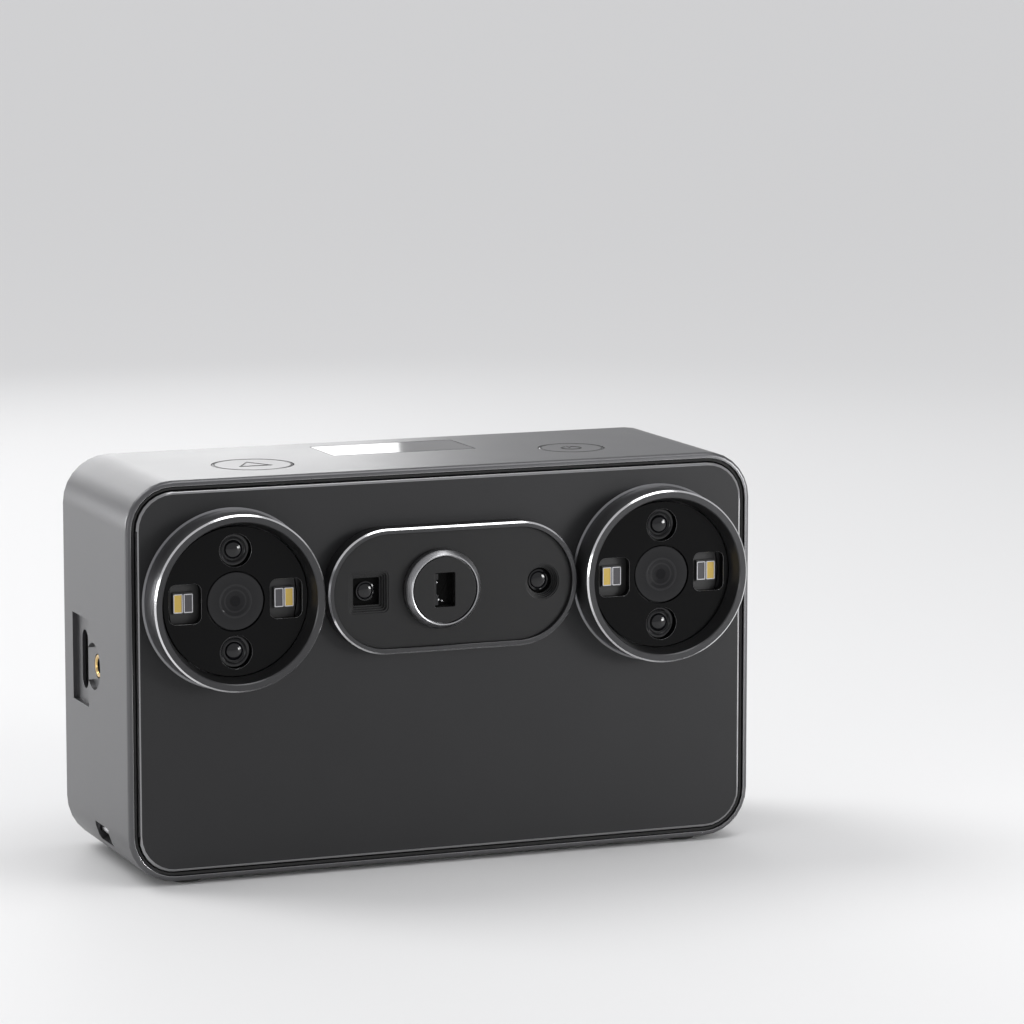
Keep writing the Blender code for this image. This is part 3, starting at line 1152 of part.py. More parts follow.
# Battery door, hinge pin, latch, bay and battery
def make_door():
    """The door stands on its hinge axis, with the knuckle along its lower edge."""
    plate_height = DOOR_HEIGHT - KNUCKLE_RADIUS
    outline = arched_outline(END_PANEL_WIDTH, plate_height, DOOR_CORNER)
    high = KNUCKLE_RADIUS
    low = high - END_PANEL_THICKNESS
    door = prism("battery_door", outline, low, high)
    knuckle = drum("knuckle", KNUCKLE_RADIUS, -END_PANEL_WIDTH / 2, END_PANEL_WIDTH / 2, SMALL_ROUND_STEPS,
                   CUTTERS)
    join(door, lay_on_hinge(knuckle))
    for turn in (-1, 1):
        offset = turn * (LATCH_PLATE_WIDTH / 2 + GAP + RAIL_WIDTH / 2)
        centre = (offset, LATCH_Z - DOOR_AXIS_Z)
        rail_outline = rounded_outline(RAIL_WIDTH, LATCH_PLATE_HEIGHT, centre=centre)
        rail = prism("latch_rail", rail_outline, low - RAIL_HEIGHT, low + END_PANEL_THICKNESS / 2, CUTTERS)
        join(door, place_on_hinge(rail))
    window_outline = rounded_outline(LATCH_WINDOW_WIDTH, LATCH_WINDOW_HEIGHT, LATCH_WINDOW_CORNER,
                                     SMALL_STEPS, (0, LATCH_Z - DOOR_AXIS_Z))
    cut(door, place_on_hinge(prism("latch_window", window_outline, low - OVERRUN, high + OVERRUN, CUTTERS)))
    slot_outline = rounded_outline(NAIL_SLOT_WIDTH, NAIL_SLOT_HEIGHT * 2, centre=(0, plate_height))
    cut(door, place_on_hinge(prism("nail_slot", slot_outline, low - OVERRUN, high + OVERRUN, CUTTERS)))
    bore = drum("knuckle_bore", HINGE_PIN_RADIUS + GAP, -END_PANEL_WIDTH, END_PANEL_WIDTH, SMALL_ROUND_STEPS,
                CUTTERS)
    cut(door, lay_on_hinge(bore))
    finish(place_on_hinge(door), "frame")
    return door


def place_on_hinge(item):
    return place(item, "right", y=END_PANEL_Y, z=DOOR_AXIS_Z, level=-KNUCKLE_RADIUS)


def lay_on_hinge(item, y=END_PANEL_Y):
    item.rotation_euler = SIDE_TURNS["front"]
    item.location = (DOOR_AXIS_X, y, DOOR_AXIS_Z)
    return item


def make_hinge_pin():
    low = FRONT + COVER_THICKNESS + GAP
    high = END_PANEL_Y + END_PANEL_WIDTH / 2 + SEAM + EAR_LENGTH
    length = high - low
    pin = drum("door_hinge_pin", HINGE_PIN_RADIUS, -length / 2, length / 2, SMALL_ROUND_STEPS)
    finish(lay_on_hinge(pin, (low + high) / 2), "metal")


def make_latch():
    """A plate behind the door's window carries the bar that the thumb slides."""
    plate_top = -END_PANEL_THICKNESS - GAP
    z = LATCH_Z
    latch = prism("battery_latch", rounded_outline(LATCH_PLATE_WIDTH, LATCH_PLATE_HEIGHT),
                  plate_top - LATCH_PLATE_THICKNESS, plate_top)
    bar = prism("latch_bar", rounded_outline(LATCH_BAR_WIDTH, LATCH_BAR_HEIGHT),
                plate_top - LATCH_PLATE_THICKNESS / 2, -LATCH_BAR_SINK, CUTTERS)
    join(latch, place(bar, "right", y=END_PANEL_Y, z=z))
    finish(place(latch, "right", y=END_PANEL_Y, z=z), "frame")


def make_battery():
    width = BAY_WIDTH
    height = BAY_TOP - BAY_BOTTOM
    centre_z = (BAY_TOP + BAY_BOTTOM) / 2
    outer = rounded_outline(width, height)
    inner = rounded_outline(width - BAY_WALL * 2, height - BAY_WALL * 2)
    mouth = -WALL - GAP
    floor = mouth - BAY_LENGTH
    bay = loft("battery_bay", [(outer, floor), (outer, mouth), (inner, mouth), (inner, floor + BAY_WALL)])
    finish(place(bay, "right", y=END_PANEL_Y, z=centre_z), "black")
    wrap = rounded_outline(width - (BAY_WALL + GAP) * 2, height - (BAY_WALL + GAP) * 2, BATTERY_CORNER)
    low = floor + BAY_WALL + GAP
    pack = prism("battery_pack", wrap, low, low + BATTERY_LENGTH)
    finish(place(pack, "right", y=END_PANEL_Y, z=centre_z), "battery")


# Top: buttons, their board and the glossy panel
def button_places():
    return (("scan_button", -SCAN_BUTTON_OFFSET, SCAN_BUTTON_RADIUS),
            ("power_button", POWER_BUTTON_OFFSET, POWER_BUTTON_RADIUS))


def flange_bottom():
    return -WALL - GAP - BUTTON_FLANGE_THICKNESS


def button_board_top():
    return flange_bottom() - BUTTON_TRAVEL - BUTTON_CLEARANCE - TACTILE_HEIGHT


def make_buttons():
    for name, x, radius in button_places():
        flange = radius + BUTTON_FLANGE
        profile = [(0, 0), (radius - BUTTON_EDGE, 0), (radius, -BUTTON_EDGE), (radius, -WALL - GAP),
                   (flange, -WALL - GAP), (flange, flange_bottom()), (0, flange_bottom())]
        button = turned(name, profile)
        finish(place(button, "top", x=x, y=FRONT + BUTTON_DEPTH), "frame")


def make_button_board():
    top = button_board_top()
    reach = max(SCAN_BUTTON_OFFSET, POWER_BUTTON_OFFSET) + TACTILE_SIZE / 2 + BUTTON_BOARD_END
    outline = rounded_outline(reach * 2, BUTTON_BOARD_DEPTH)
    board = prism("button_board", outline, top - BOARD_THICKNESS, top)
    for name, x, radius in button_places():
        switch = prism(name + "_switch", rounded_outline(TACTILE_SIZE, TACTILE_SIZE),
                       top - BOARD_THICKNESS / 2, top + TACTILE_HEIGHT, CUTTERS)
        join(board, place(switch, "top", x=x, y=FRONT + BUTTON_DEPTH))
    finish(place(board, "top", y=FRONT + BUTTON_DEPTH), "board")


def make_top_panel():
    edge = TOP_PANEL_EDGE
    rim = [(0, -TOP_PANEL_THICKNESS), (0, -edge), (edge, 0)]
    sections = [(rounded_outline(TOP_PANEL_WIDTH - inset * 2, TOP_PANEL_DEPTH - inset * 2,
                                 TOP_PANEL_CORNER - inset, SMALL_STEPS), level) for inset, level in rim]
    finish(place(loft("top_panel", sections), "top", y=FRONT + TOP_PANEL_AT), "gloss")


# Cable end: socket, locking insert and lanyard bar
def make_socket():
    outer = rounded_outline(SOCKET_BODY_WIDTH, SOCKET_BODY_HEIGHT)
    high = -WALL - GAP
    low = high - SOCKET_BODY_LENGTH
    body = prism("cable_socket", outer, low, high)
    hole = prism("socket_cavity", socket_outline(), high - SOCKET_CAVITY, high + OVERRUN, CUTTERS)
    cut(body, place(hole, "left", y=FRONT + SOCKET_DEPTH, z=MIDDLE))
    finish(place(body, "left", y=FRONT + SOCKET_DEPTH, z=MIDDLE), "black")


def make_insert():
    top = -SOCKET_RECESS_SINK
    edge = INSERT_EDGE
    end = top - INSERT_LENGTH
    profile = [(INSERT_RADIUS, top), (INSERT_RADIUS, end), (INSERT_BORE_RADIUS, end),
               (INSERT_BORE_RADIUS, top - edge), (INSERT_BORE_RADIUS + edge, top)]
    insert = turned("locking_insert", profile, SMALL_ROUND_STEPS, loop=True)
    finish(place(insert, "left", y=FRONT + DISH_DEPTH, z=MIDDLE), "brass")


def make_lanyard_bar():
    length = LANYARD_WIDTH + LANYARD_BAR_SEAT * 2
    bar = drum("lanyard_bar", LANYARD_BAR_RADIUS, -length / 2, length / 2, SMALL_ROUND_STEPS)
    finish(lay_bar(bar), "metal")


# Underside: feet and tripod bush
def foot_places():
    places = []
    for side, x in (("left", -HALF_WIDTH + FOOT_SIDE_MARGIN), ("right", HALF_WIDTH - FOOT_SIDE_MARGIN)):
        places.append(("front_" + side + "_foot", x, FRONT + FOOT_FACE_MARGIN))
        places.append(("back_" + side + "_foot", x, BACK - FOOT_FACE_MARGIN))
    return places


def make_feet():
    base = GAP - FOOT_SEAT
    edge = FOOT_EDGE
    profile = [(0, FOOT_HEIGHT), (FOOT_RADIUS - edge, FOOT_HEIGHT), (FOOT_RADIUS, FOOT_HEIGHT - edge),
               (FOOT_RADIUS, base), (0, base)]
    for name, x, y in foot_places():
        finish(place(turned(name, profile), "bottom", x=x, y=y), "rubber")


def make_bush():
    edge = BUSH_EDGE
    profile = [(BUSH_RADIUS, 0), (BUSH_RADIUS, -BUSH_LENGTH), (BUSH_BORE_RADIUS, -BUSH_LENGTH),
               (BUSH_BORE_RADIUS, -edge), (BUSH_BORE_RADIUS + edge, 0)]
    bush = turned("tripod_bush", profile, ROUND_STEPS, loop=True)
    finish(place(bush, "bottom", y=FRONT + BUSH_DEPTH), "brass")


make_frame()
make_front_cover()
make_back_cover()
make_gaskets()
make_modules()
make_centre_bezel()
make_centre_window()
make_projector()
make_small_cameras()
make_chassis()
make_main_board()
make_heat_sink()
make_screws()
make_screen()
make_switch_panel()
make_mode_slider()
make_microphone()
make_door()
make_hinge_pin()
make_latch()
make_battery()
make_buttons()
make_button_board()
make_top_panel()
make_socket()
make_insert()
make_lanyard_bar()
make_feet()
make_bush()
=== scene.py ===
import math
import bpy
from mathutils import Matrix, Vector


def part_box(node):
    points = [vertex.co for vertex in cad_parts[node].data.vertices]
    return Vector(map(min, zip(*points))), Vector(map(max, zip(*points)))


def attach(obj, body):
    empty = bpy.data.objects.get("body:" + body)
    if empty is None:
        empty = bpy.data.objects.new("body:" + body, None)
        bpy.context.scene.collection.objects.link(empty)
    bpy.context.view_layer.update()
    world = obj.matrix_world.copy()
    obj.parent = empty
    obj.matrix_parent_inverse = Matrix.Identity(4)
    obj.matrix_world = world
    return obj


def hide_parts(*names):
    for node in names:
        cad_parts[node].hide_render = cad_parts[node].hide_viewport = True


bl_info = {
    "name": "Handheld three-d scanner",
    "version": (1, 0, 0),
    "blender": (4, 5, 0),
    "location": "3D View > Sidebar > Scanner",
    "description": "Dresses the packed solids of a handheld three-d scanner",
    "category": "Object",
}

import bmesh
import bpy
from mathutils import Vector

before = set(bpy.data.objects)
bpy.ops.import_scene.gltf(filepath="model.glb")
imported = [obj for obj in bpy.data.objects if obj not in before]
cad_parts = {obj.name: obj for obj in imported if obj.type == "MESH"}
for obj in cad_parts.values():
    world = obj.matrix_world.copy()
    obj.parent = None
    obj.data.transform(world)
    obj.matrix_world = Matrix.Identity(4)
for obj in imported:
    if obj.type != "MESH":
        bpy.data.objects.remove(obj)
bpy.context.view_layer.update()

MM = 0.001
TO_MM = 1000.0
HOUSING = "housing"
MODULES = ("left", "right")

# Corners closer than this are one, and faces flatter than this are one
MERGE = 0.0005 * MM
FLAT_ANGLE = math.radians(0.3)
# How far a cutter reaches past what it cuts
OVER = 1.0 * MM
# Level over the front cover at which the bezels stand on it
BEZEL_FOOT = 0.3 * MM
# Levels of printed lines under a face, and the thickness of a sign on the screen
INK_ROOT = -0.3 * MM
SHALLOW_ROOT = -0.05 * MM
SIGN_RISE = 0.01 * MM

# Grain of the finishes in waves to the metre, and how deep it is
METAL_GRAIN = 3800.0
PLASTIC_GRAIN = 2600.0
POLISH_GRAIN = 900.0
RUBBER_GRAIN = 1800.0
PHOSPHOR_GRAIN = 5200.0
SMUDGE_SCALE = 35.0
GRAIN_DEPTH = 0.02 * MM
COAT_ROUGHNESS = 0.04
# Unlit screen, under the light that it gives
SCREEN_DARK = (0.008, 0.008, 0.009)
SCREEN_ROUGHNESS = 0.08

# The scanned jar in millimetres: its height, half its mean width, how far that swells, and the wave
JAR_HEIGHT = 48
JAR_HALF_WIDTH = 12.6
JAR_SWELL = 6.2
JAR_WAVE = math.tau / JAR_HEIGHT
JAR_START = math.pi - 0.7


# Places read from the frame
def middle(node):
    low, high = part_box(node)
    return (low + high) / 2


def extent(node):
    low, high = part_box(node)
    return high - low


COVER_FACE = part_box("front_cover")[0].y
BODY_LOW, BODY_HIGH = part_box("middle_frame")
# For each side of the body: the axis it faces along, which way, and the level of its face
SIDES = {
    "front": (1, -1, COVER_FACE),
    "back": (1, 1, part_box("back_cover")[1].y),
    "left": (0, -1, BODY_LOW.x),
    "right": (0, 1, BODY_HIGH.x),
    "top": (2, 1, BODY_HIGH.z),
    "bottom": (2, -1, BODY_LOW.z),
}
# How a piece drawn flat, facing up, is turned to lie on each side
SIDE_TURNS = {
    "front": (math.pi / 2, 0, 0),
    "back": (math.pi / 2, 0, math.pi),
    "left": (math.pi / 2, 0, -math.pi / 2),
    "right": (math.pi / 2, 0, math.pi / 2),
    "top": (0, 0, 0),
    "bottom": (math.pi, 0, 0),
}


def reach(side, place):
    """How far a place lies outside the face of a side of the body."""
    axis, way, side_level = SIDES[side]
    return way * (place[axis] - side_level)


def span(side, node):
    """Lowest and highest level of a node, measured outwards from a side's face."""
    levels = [reach(side, corner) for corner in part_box(node)]
    return min(levels), max(levels)


# Places of a piece's own faces
def level_of(face, side="front"):
    """Level of a face's middle, measured outwards from a side's face."""
    return reach(side, face.calc_center_median())


def off_axis(face, centre, side="front"):
    """Distance of a face's middle from the line through a centre, square to a side."""
    spot = face.calc_center_median() - centre
    spot[SIDES[side][0]] = 0
    return spot.length


def tilted(face, least, most, side="front"):
    """Whether a face turns partly to a side: 0 is square to it and 1 is flat on it."""
    axis, way, _ = SIDES[side]
    return least < way * face.normal[axis] < most


# Selecting and shaping
def only(piece):
    bpy.ops.object.select_all(action="DESELECT")
    piece.select_set(True)
    bpy.context.view_layer.objects.active = piece


def add(operator, name, **settings):
    """Add an object with nothing else selected, and name it."""
    bpy.ops.object.select_all(action="DESELECT")
    operator(**settings)
    piece = bpy.context.object
    piece.name = name
    return piece


def settle(piece):
    """Put the place and turn of the selected piece into its mesh."""
    bpy.ops.object.transform_apply(location=True, rotation=True, scale=True)
    return piece


def edit(piece):
    """Open a piece in edit mode with all of it selected."""
    only(piece)
    bpy.ops.object.mode_set(mode="EDIT")
    bpy.ops.mesh.select_mode(type="VERT")
    bpy.ops.mesh.select_all(action="SELECT")


def leave():
    bpy.ops.object.mode_set(mode="OBJECT")


def face_out():
    """Point all faces outwards and leave edit mode."""
    bpy.ops.mesh.select_all(action="SELECT")
    bpy.ops.mesh.normals_make_consistent(inside=False)
    leave()


def choose(piece, kind, test):
    """Select the faces, edges or corners of a piece in edit mode that pass a test."""
    bpy.ops.mesh.select_mode(type=kind)
    bpy.ops.mesh.select_all(action="DESELECT")
    work = bmesh.from_edit_mesh(piece.data)
    parts = {"FACE": work.faces, "EDGE": work.edges, "VERT": work.verts}[kind]
    for part in parts:
        part.select_set(test(part))
    bmesh.update_edit_mesh(piece.data)


def extrude(x, y, z):
    bpy.ops.mesh.extrude_region_move(TRANSFORM_OT_translate={"value": (x, y, z)})


def stretch(share_x, share_y):
    bpy.ops.transform.resize(value=(share_x, share_y, 1))


def turned(name, profile, steps=96, ring=False):
    """Draw a circle up through a profile of radius and level, as on a lathe."""
    radius, level = profile[0]
    piece = add(bpy.ops.mesh.primitive_circle_add, name,
                vertices=steps, radius=radius, location=(0, 0, level))
    edit(piece)
    for (radius, level), (next_radius, next_level) in zip(profile, profile[1:]):
        extrude(0, 0, next_level - level)
        stretch(next_radius / radius, next_radius / radius)
    bpy.ops.mesh.select_all(action="DESELECT")
    bpy.ops.mesh.select_non_manifold()
    if ring:
        bpy.ops.mesh.bridge_edge_loops()
    else:
        bpy.ops.mesh.fill_holes(sides=0)
    face_out()
    return settle(piece)


def drum(name, radius, low, high, steps=64):
    return turned(name, [(radius, low), (radius, high)], steps)


def slab(name, width, height, corner, low, high, steps=12):
    """A flat plate with rounded corners, between two levels."""
    piece = add(bpy.ops.mesh.primitive_plane_add, name, size=1, location=(0, 0, low))
    edit(piece)
    stretch(width, height)
    if corner > 0:
        bpy.ops.mesh.bevel(offset=corner, segments=steps, affect="VERTICES")
        bpy.ops.mesh.select_all(action="SELECT")
    extrude(0, 0, high - low)
    bpy.ops.mesh.select_all(action="SELECT")
    bpy.ops.mesh.remove_doubles(threshold=MERGE)
    face_out()
    return settle(piece)


def outline_mark(name, corners, radius, width, low, high):
    """A thin raised line round a circle or a polygon."""
    inner = radius - width
    profile = [(radius, low), (radius, high), (inner, high), (inner, low)]
    return turned(name, profile, corners, ring=True)


def dome(radius, level, rise, angles):
    """Profile of a rounded lens over a level, at angles up from its foot."""
    return [(radius * math.cos(angle), level + rise * math.sin(angle)) for angle in angles]


def quarter_turn(steps):
    """Angles that part a quarter turn evenly, without its two ends."""
    return [math.pi / 2 * step / steps for step in range(1, steps)]


def set_on(piece, side, place, level=0):
    """Turn a piece to a side of the body and move it to the place, level with that side's face."""
    axis, way, side_level = SIDES[side]
    spot = Vector(place)
    spot[axis] = side_level + way * level
    only(piece)
    piece.rotation_euler = SIDE_TURNS[side]
    piece.location = spot
    return settle(piece)


def shift(piece, x, y):
    """Move a piece along its own plate, before it is set on a side."""
    only(piece)
    piece.location = (x, y, 0)
    return settle(piece)


def cut(piece, tool):
    """Take the shape of a tool out of a piece, and the tool away."""
    only(piece)
    boolean = piece.modifiers.new("cut", "BOOLEAN")
    boolean.operation = "DIFFERENCE"
    boolean.object = tool
    boolean.solver = "EXACT"
    bpy.ops.object.modifier_apply(modifier=boolean.name)
    bpy.data.objects.remove(tool, do_unlink=True)


def soften(piece, width, segments=2, angle=30):
    """Round the sharp edges of a piece and smooth its shading."""
    only(piece)
    if width > 0:
        bevel = piece.modifiers.new("soften", "BEVEL")
        bevel.width = width
        bevel.segments = segments
        bevel.limit_method = "ANGLE"
        bevel.angle_limit = math.radians(angle)
        bpy.ops.object.modifier_apply(modifier=bevel.name)
    bpy.ops.object.shade_smooth_by_angle(angle=math.radians(angle))
    weighted = piece.modifiers.new("weighted", "WEIGHTED_NORMAL")
    weighted.keep_sharp = True
    bpy.ops.object.modifier_apply(modifier=weighted.name)
    return piece


def traced(node, name, width, segments=2):
    """A merged copy of a solid of the frame, with its edges rounded."""
    piece = bpy.data.objects.new(name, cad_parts[node].data.copy())
    bpy.context.scene.collection.objects.link(piece)
    edit(piece)
    bpy.ops.mesh.remove_doubles(threshold=MERGE)
    bpy.ops.mesh.customdata_custom_splitnormals_clear()
    bpy.ops.mesh.dissolve_limited(angle_limit=FLAT_ANGLE)
    face_out()
    return soften(piece, width, segments)


# Dressing
def rides(piece, material, body=HOUSING):
    """Give a piece its material and let it move with its body."""
    piece.data.materials.clear()
    piece.data.materials.append(material)
    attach(piece, body)
    return piece


def stands_for(piece, node, material, body=HOUSING):
    """Dress a piece, let it ride on its body and hide the solid that it stands for."""
    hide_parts(node)
    return rides(piece, material, body)


def dress(node, material):
    """Give a solid of the frame its finish."""
    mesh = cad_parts[node].data
    mesh.materials.clear()
    mesh.materials.append(material)


def paint_band(piece, material, test):
    """Give the faces of a piece that pass a test a second material."""
    piece.data.materials.append(material)
    edit(piece)
    choose(piece, "FACE", test)
    piece.active_material_index = len(piece.data.materials) - 1
    bpy.ops.object.material_slot_assign()
    leave()


# Materials
class Maths:
    """A socket that grows Math nodes when it is used in a Python expression."""

    def __init__(self, tree, socket):
        self.tree = tree
        self.socket = socket

    def work(self, operation, *values):
        node = self.tree.nodes.new("ShaderNodeMath")
        node.operation = operation
        for value, socket in zip(values, node.inputs):
            if isinstance(value, Maths):
                self.tree.links.new(value.socket, socket)
            else:
                socket.default_value = value
        return Maths(self.tree, node.outputs[0])

    def __add__(self, other):
        return self.work("ADD", self, other)

    def __radd__(self, other):
        return self.work("ADD", other, self)

    def __sub__(self, other):
        return self.work("SUBTRACT", self, other)

    def __rsub__(self, other):
        return self.work("SUBTRACT", other, self)

    def __mul__(self, other):
        return self.work("MULTIPLY", self, other)

    def __rmul__(self, other):
        return self.work("MULTIPLY", other, self)

    def __truediv__(self, other):
        return self.work("DIVIDE", self, other)

    def __pow__(self, other):
        return self.work("POWER", self, other)

    def above(self, other):
        return self.work("GREATER_THAN", self, other)

    def below(self, other):
        return self.work("LESS_THAN", self, other)

    def size(self):
        return self.work("ABSOLUTE", self)

    def root(self):
        return self.work("SQRT", self)

    def wave(self):
        return self.work("SINE", self)

    def clamped(self, low=0.0):
        return self.work("MINIMUM", self.work("MAXIMUM", self, low), 1.0)


def shaded(colour, share):
    """A colour made darker or lighter, and no brighter than white."""
    return tuple(min(part * share, 1.0) for part in colour)


class Finish:
    """A material with one Principled shader, and the nodes that feed it."""

    def __init__(self, name, colour, roughness, metallic=0.0, coat=0.0):
        self.material = bpy.data.materials.new(name)
        self.material.use_nodes = True
        self.tree = self.material.node_tree
        self.shader = self.tree.nodes["Principled BSDF"]
        self.colour = colour
        self.roughness = roughness
        self.set("Base Color", colour)
        self.set("Roughness", roughness)
        self.set("Metallic", metallic)
        self.set("Coat Weight", coat)
        self.set("Coat Roughness", COAT_ROUGHNESS)

    def set(self, name, value):
        self.link(value, self.shader.inputs[name])

    def link(self, value, socket):
        """Feed a socket from another one, or set it to a plain number or colour."""
        if isinstance(value, Maths):
            value = value.socket
        if isinstance(value, bpy.types.NodeSocket):
            self.tree.links.new(value, socket)
        elif socket.type == "RGBA":
            socket.default_value = (*value, 1.0)
        else:
            socket.default_value = value

    def node(self, kind, settings, inputs):
        """Add a node of a kind, with its settings first and then its sockets, and give its outputs."""
        node = self.tree.nodes.new("ShaderNode" + kind)
        for name, value in settings.items():
            setattr(node, name, value)
        for name, value in inputs.items():
            self.link(value, node.inputs[name])
        return node.outputs

    def place(self):
        return self.node("TexCoord", {}, {})["Object"]

    def axes(self, centre=(0, 0, 0)):
        """The three object coordinates as numbers in millimetres, measured from a centre."""
        outputs = self.node("SeparateXYZ", {}, {0: self.place()})
        sockets = [Maths(self.tree, output) for output in outputs]
        return [(socket - start) * TO_MM for socket, start in zip(sockets, centre)]

    def noise(self, scale, detail):
        inputs = {"Vector": self.place(), "Scale": scale, "Detail": detail, "Roughness": 0.55}
        return Maths(self.tree, self.node("TexNoise", {}, inputs)["Fac"])

    def blend(self, mask, first, second):
        """A colour between two others, by a mask."""
        # A Mix node has its sockets for colours at these places
        inputs = {"Factor": mask, 6: first, 7: second}
        return self.node("Mix", {"data_type": "RGBA"}, inputs)[2]

    def bump(self, height, distance, strength):
        inputs = {"Height": height, "Distance": distance, "Strength": strength}
        self.set("Normal", self.node("Bump", {}, inputs)[0])

    def grained(self, grain_scale, depth, tone=0.06, gloss=0.06):
        """Fine grain in the tone, the gloss and the surface, with slow smudges under it."""
        grain = self.noise(grain_scale, 4.0)
        smudge = self.noise(SMUDGE_SCALE, 2.0)
        darker = shaded(self.colour, 1 - tone)
        lighter = shaded(self.colour, 1 + tone)
        self.set("Base Color", self.blend(smudge, darker, lighter))
        self.set("Roughness", grain * gloss + (self.roughness - gloss) + smudge * gloss)
        if depth > 0:
            self.bump(grain, depth, 0.4)
        return self


def satin_metal(name, colour, roughness, metallic=1.0):
    return Finish(name, colour, roughness, metallic).grained(METAL_GRAIN, GRAIN_DEPTH).material


def satin_plastic(name, colour, roughness, coat=0.0, shine=0.5):
    finish = Finish(name, colour, roughness, coat=coat).grained(PLASTIC_GRAIN, GRAIN_DEPTH)
    finish.set("Specular IOR Level", shine)
    return finish.material


def polished(name, colour, roughness, shine=0.5):
    finish = Finish(name, colour, roughness).grained(POLISH_GRAIN, 0, tone=0.04, gloss=0.02)
    finish.set("Specular IOR Level", shine)
    return finish.material


def rubber(name, colour):
    finish = Finish(name, colour, 0.75)
    return finish.grained(RUBBER_GRAIN, GRAIN_DEPTH * 2, tone=0.1, gloss=0.08).material


def turned_metal(name, colour, centre, plane, roughness, pitch):
    """Metal with fine rings left by the lathe, round a centre in a plane of two axes."""
    finish = Finish(name, colour, roughness, metallic=1.0)
    axes = finish.axes(centre)
    first, second = axes[plane[0]], axes[plane[1]]
    radius = (first * first + second * second).root()
    rings = (radius * (math.tau / pitch)).wave() * 0.5 + 0.5
    swing = 0.1
    finish.set("Roughness", rings * swing + (roughness - swing / 2))
    finish.set("Base Color", finish.blend(rings, shaded(colour, 0.86), colour))
    return finish.material


def smoked_lens(name, centre):
    """Dark glass with the rims of the lens groups showing as fainter rings, and painted shade darkening
    towards the middle into a black core, in millimetres.
    """
    core, first_rim, second_rim, edge = 1.5, 3.0, 4.4, 8.0
    finish = Finish(name, (0.02, 0.02, 0.022), 0.08)
    finish.set("Specular IOR Level", 0.2)
    across, _, up = finish.axes(centre)
    radius = (across * across + up * up).root()
    first = (radius - first_rim).size().below(0.22)
    second = (radius - second_rim).size().below(0.3)
    # Painted shade: darker towards the middle of the lens
    tone = finish.blend((radius / edge).clamped(), (0.006, 0.006, 0.007), (0.017, 0.017, 0.018))
    tone = finish.blend(second * 0.3 + first * 0.25, tone, (0.045, 0.045, 0.047))
    # Painted shade: a black core where the lens is deepest
    tone = finish.blend(radius.below(core), tone, (0.002, 0.002, 0.003))
    finish.set("Base Color", tone)
    return finish.material


def glowing(finish, colour):
    """Let a screen's colour shine from dark glass."""
    finish.set("Specular IOR Level", 0.3)
    finish.set("Emission Color", colour)
    finish.set("Emission Strength", 1.0)
    return finish.material


def lit_screen(name):
    """The picture area: a dim blue grey that darkens towards its lower corner."""
    finish = Finish(name, SCREEN_DARK, SCREEN_ROUGHNESS)
    across, _, up = finish.axes(middle("display_panel"))
    shade = ((up + across * 0.4) / 90.0 + 0.5).clamped()
    return glowing(finish, finish.blend(shade, (0.03, 0.034, 0.042), (0.06, 0.067, 0.082)))


def lit_mark(name, colour):
    finish = Finish(name, SCREEN_DARK, SCREEN_ROUGHNESS)
    return glowing(finish, finish.blend(finish.noise(400.0, 1.0), shaded(colour, 0.94), colour))


def jar_width(height):
    """Half the width of the scanned jar in millimetres, at a height over its middle."""
    return JAR_HALF_WIDTH + JAR_SWELL * math.sin(JAR_WAVE * height + JAR_START)


def scanned_shape(name, centre):
    """Blue of a round scanned form, lit from one side, with fine rows of scan lines."""
    row_pitch, glint_place, glint_width = 1.3, 0.4, 0.2
    finish = Finish(name, SCREEN_DARK, SCREEN_ROUGHNESS)
    across, _, up = finish.axes(centre)
    half = (up * JAR_WAVE + JAR_START).wave() * JAR_SWELL + JAR_HALF_WIDTH
    side = (across / half).clamped(-1.0)
    facing = (1.0 - side * side).root()
    light = (facing * 0.82 + side * 0.5).clamped()
    rows = (up * (math.tau / row_pitch)).wave() * 0.5 + 0.5
    bands = ((up * 0.42).wave() - 0.93).above(0.0)
    patches = (finish.noise(150.0, 4.0) - 0.56).above(0.0)
    glint = (1.0 - (side - glint_place).size() / glint_width).clamped() ** 2.0 * facing
    tone = finish.blend(light, (0.004, 0.03, 0.14), (0.05, 0.40, 0.95))
    tone = finish.blend(rows * 0.16, tone, (0.35, 0.75, 1.0))
    tone = finish.blend(bands * 0.45, tone, (0.01, 0.1, 0.35))
    tone = finish.blend(patches * 0.14, tone, (0.01, 0.08, 0.3))
    tone = finish.blend(glint * 0.5, tone, (0.6, 0.88, 1.0))
    return glowing(finish, tone)


def scale_colours(name, low, high):
    """The distance bar: salmon below, green between and cyan above."""
    finish = Finish(name, SCREEN_DARK, SCREEN_ROUGHNESS)
    _, _, up = finish.axes((0, 0, low))
    height = (high - low) * TO_MM
    tone = finish.blend(up.above(height * 0.2), (0.75, 0.13, 0.1), (0.05, 0.6, 0.14))
    return glowing(finish, finish.blend(up.above(height * 0.8), tone, (0.06, 0.42, 0.72)))


def phosphor(name, colour):
    finish = Finish(name, colour, 0.45, coat=0.5)
    grain = finish.noise(PHOSPHOR_GRAIN, 2.0)
    finish.set("Base Color", finish.blend(grain, shaded(colour, 0.75), colour))
    finish.bump(grain, GRAIN_DEPTH, 0.3)
    return finish.material


def circuit_board(name):
    """Green lacquer with paler tracks in a net."""
    finish = Finish(name, (0.015, 0.1, 0.06), 0.4, coat=0.4)
    across, _, up = finish.axes()
    tracks = ((across * 2.1).wave() * (up * 1.7).wave()).above(0.55)
    finish.set("Base Color", finish.blend(tracks * 0.6, (0.012, 0.085, 0.05), (0.05, 0.22, 0.13)))
    return finish.material


FINISHES = {}


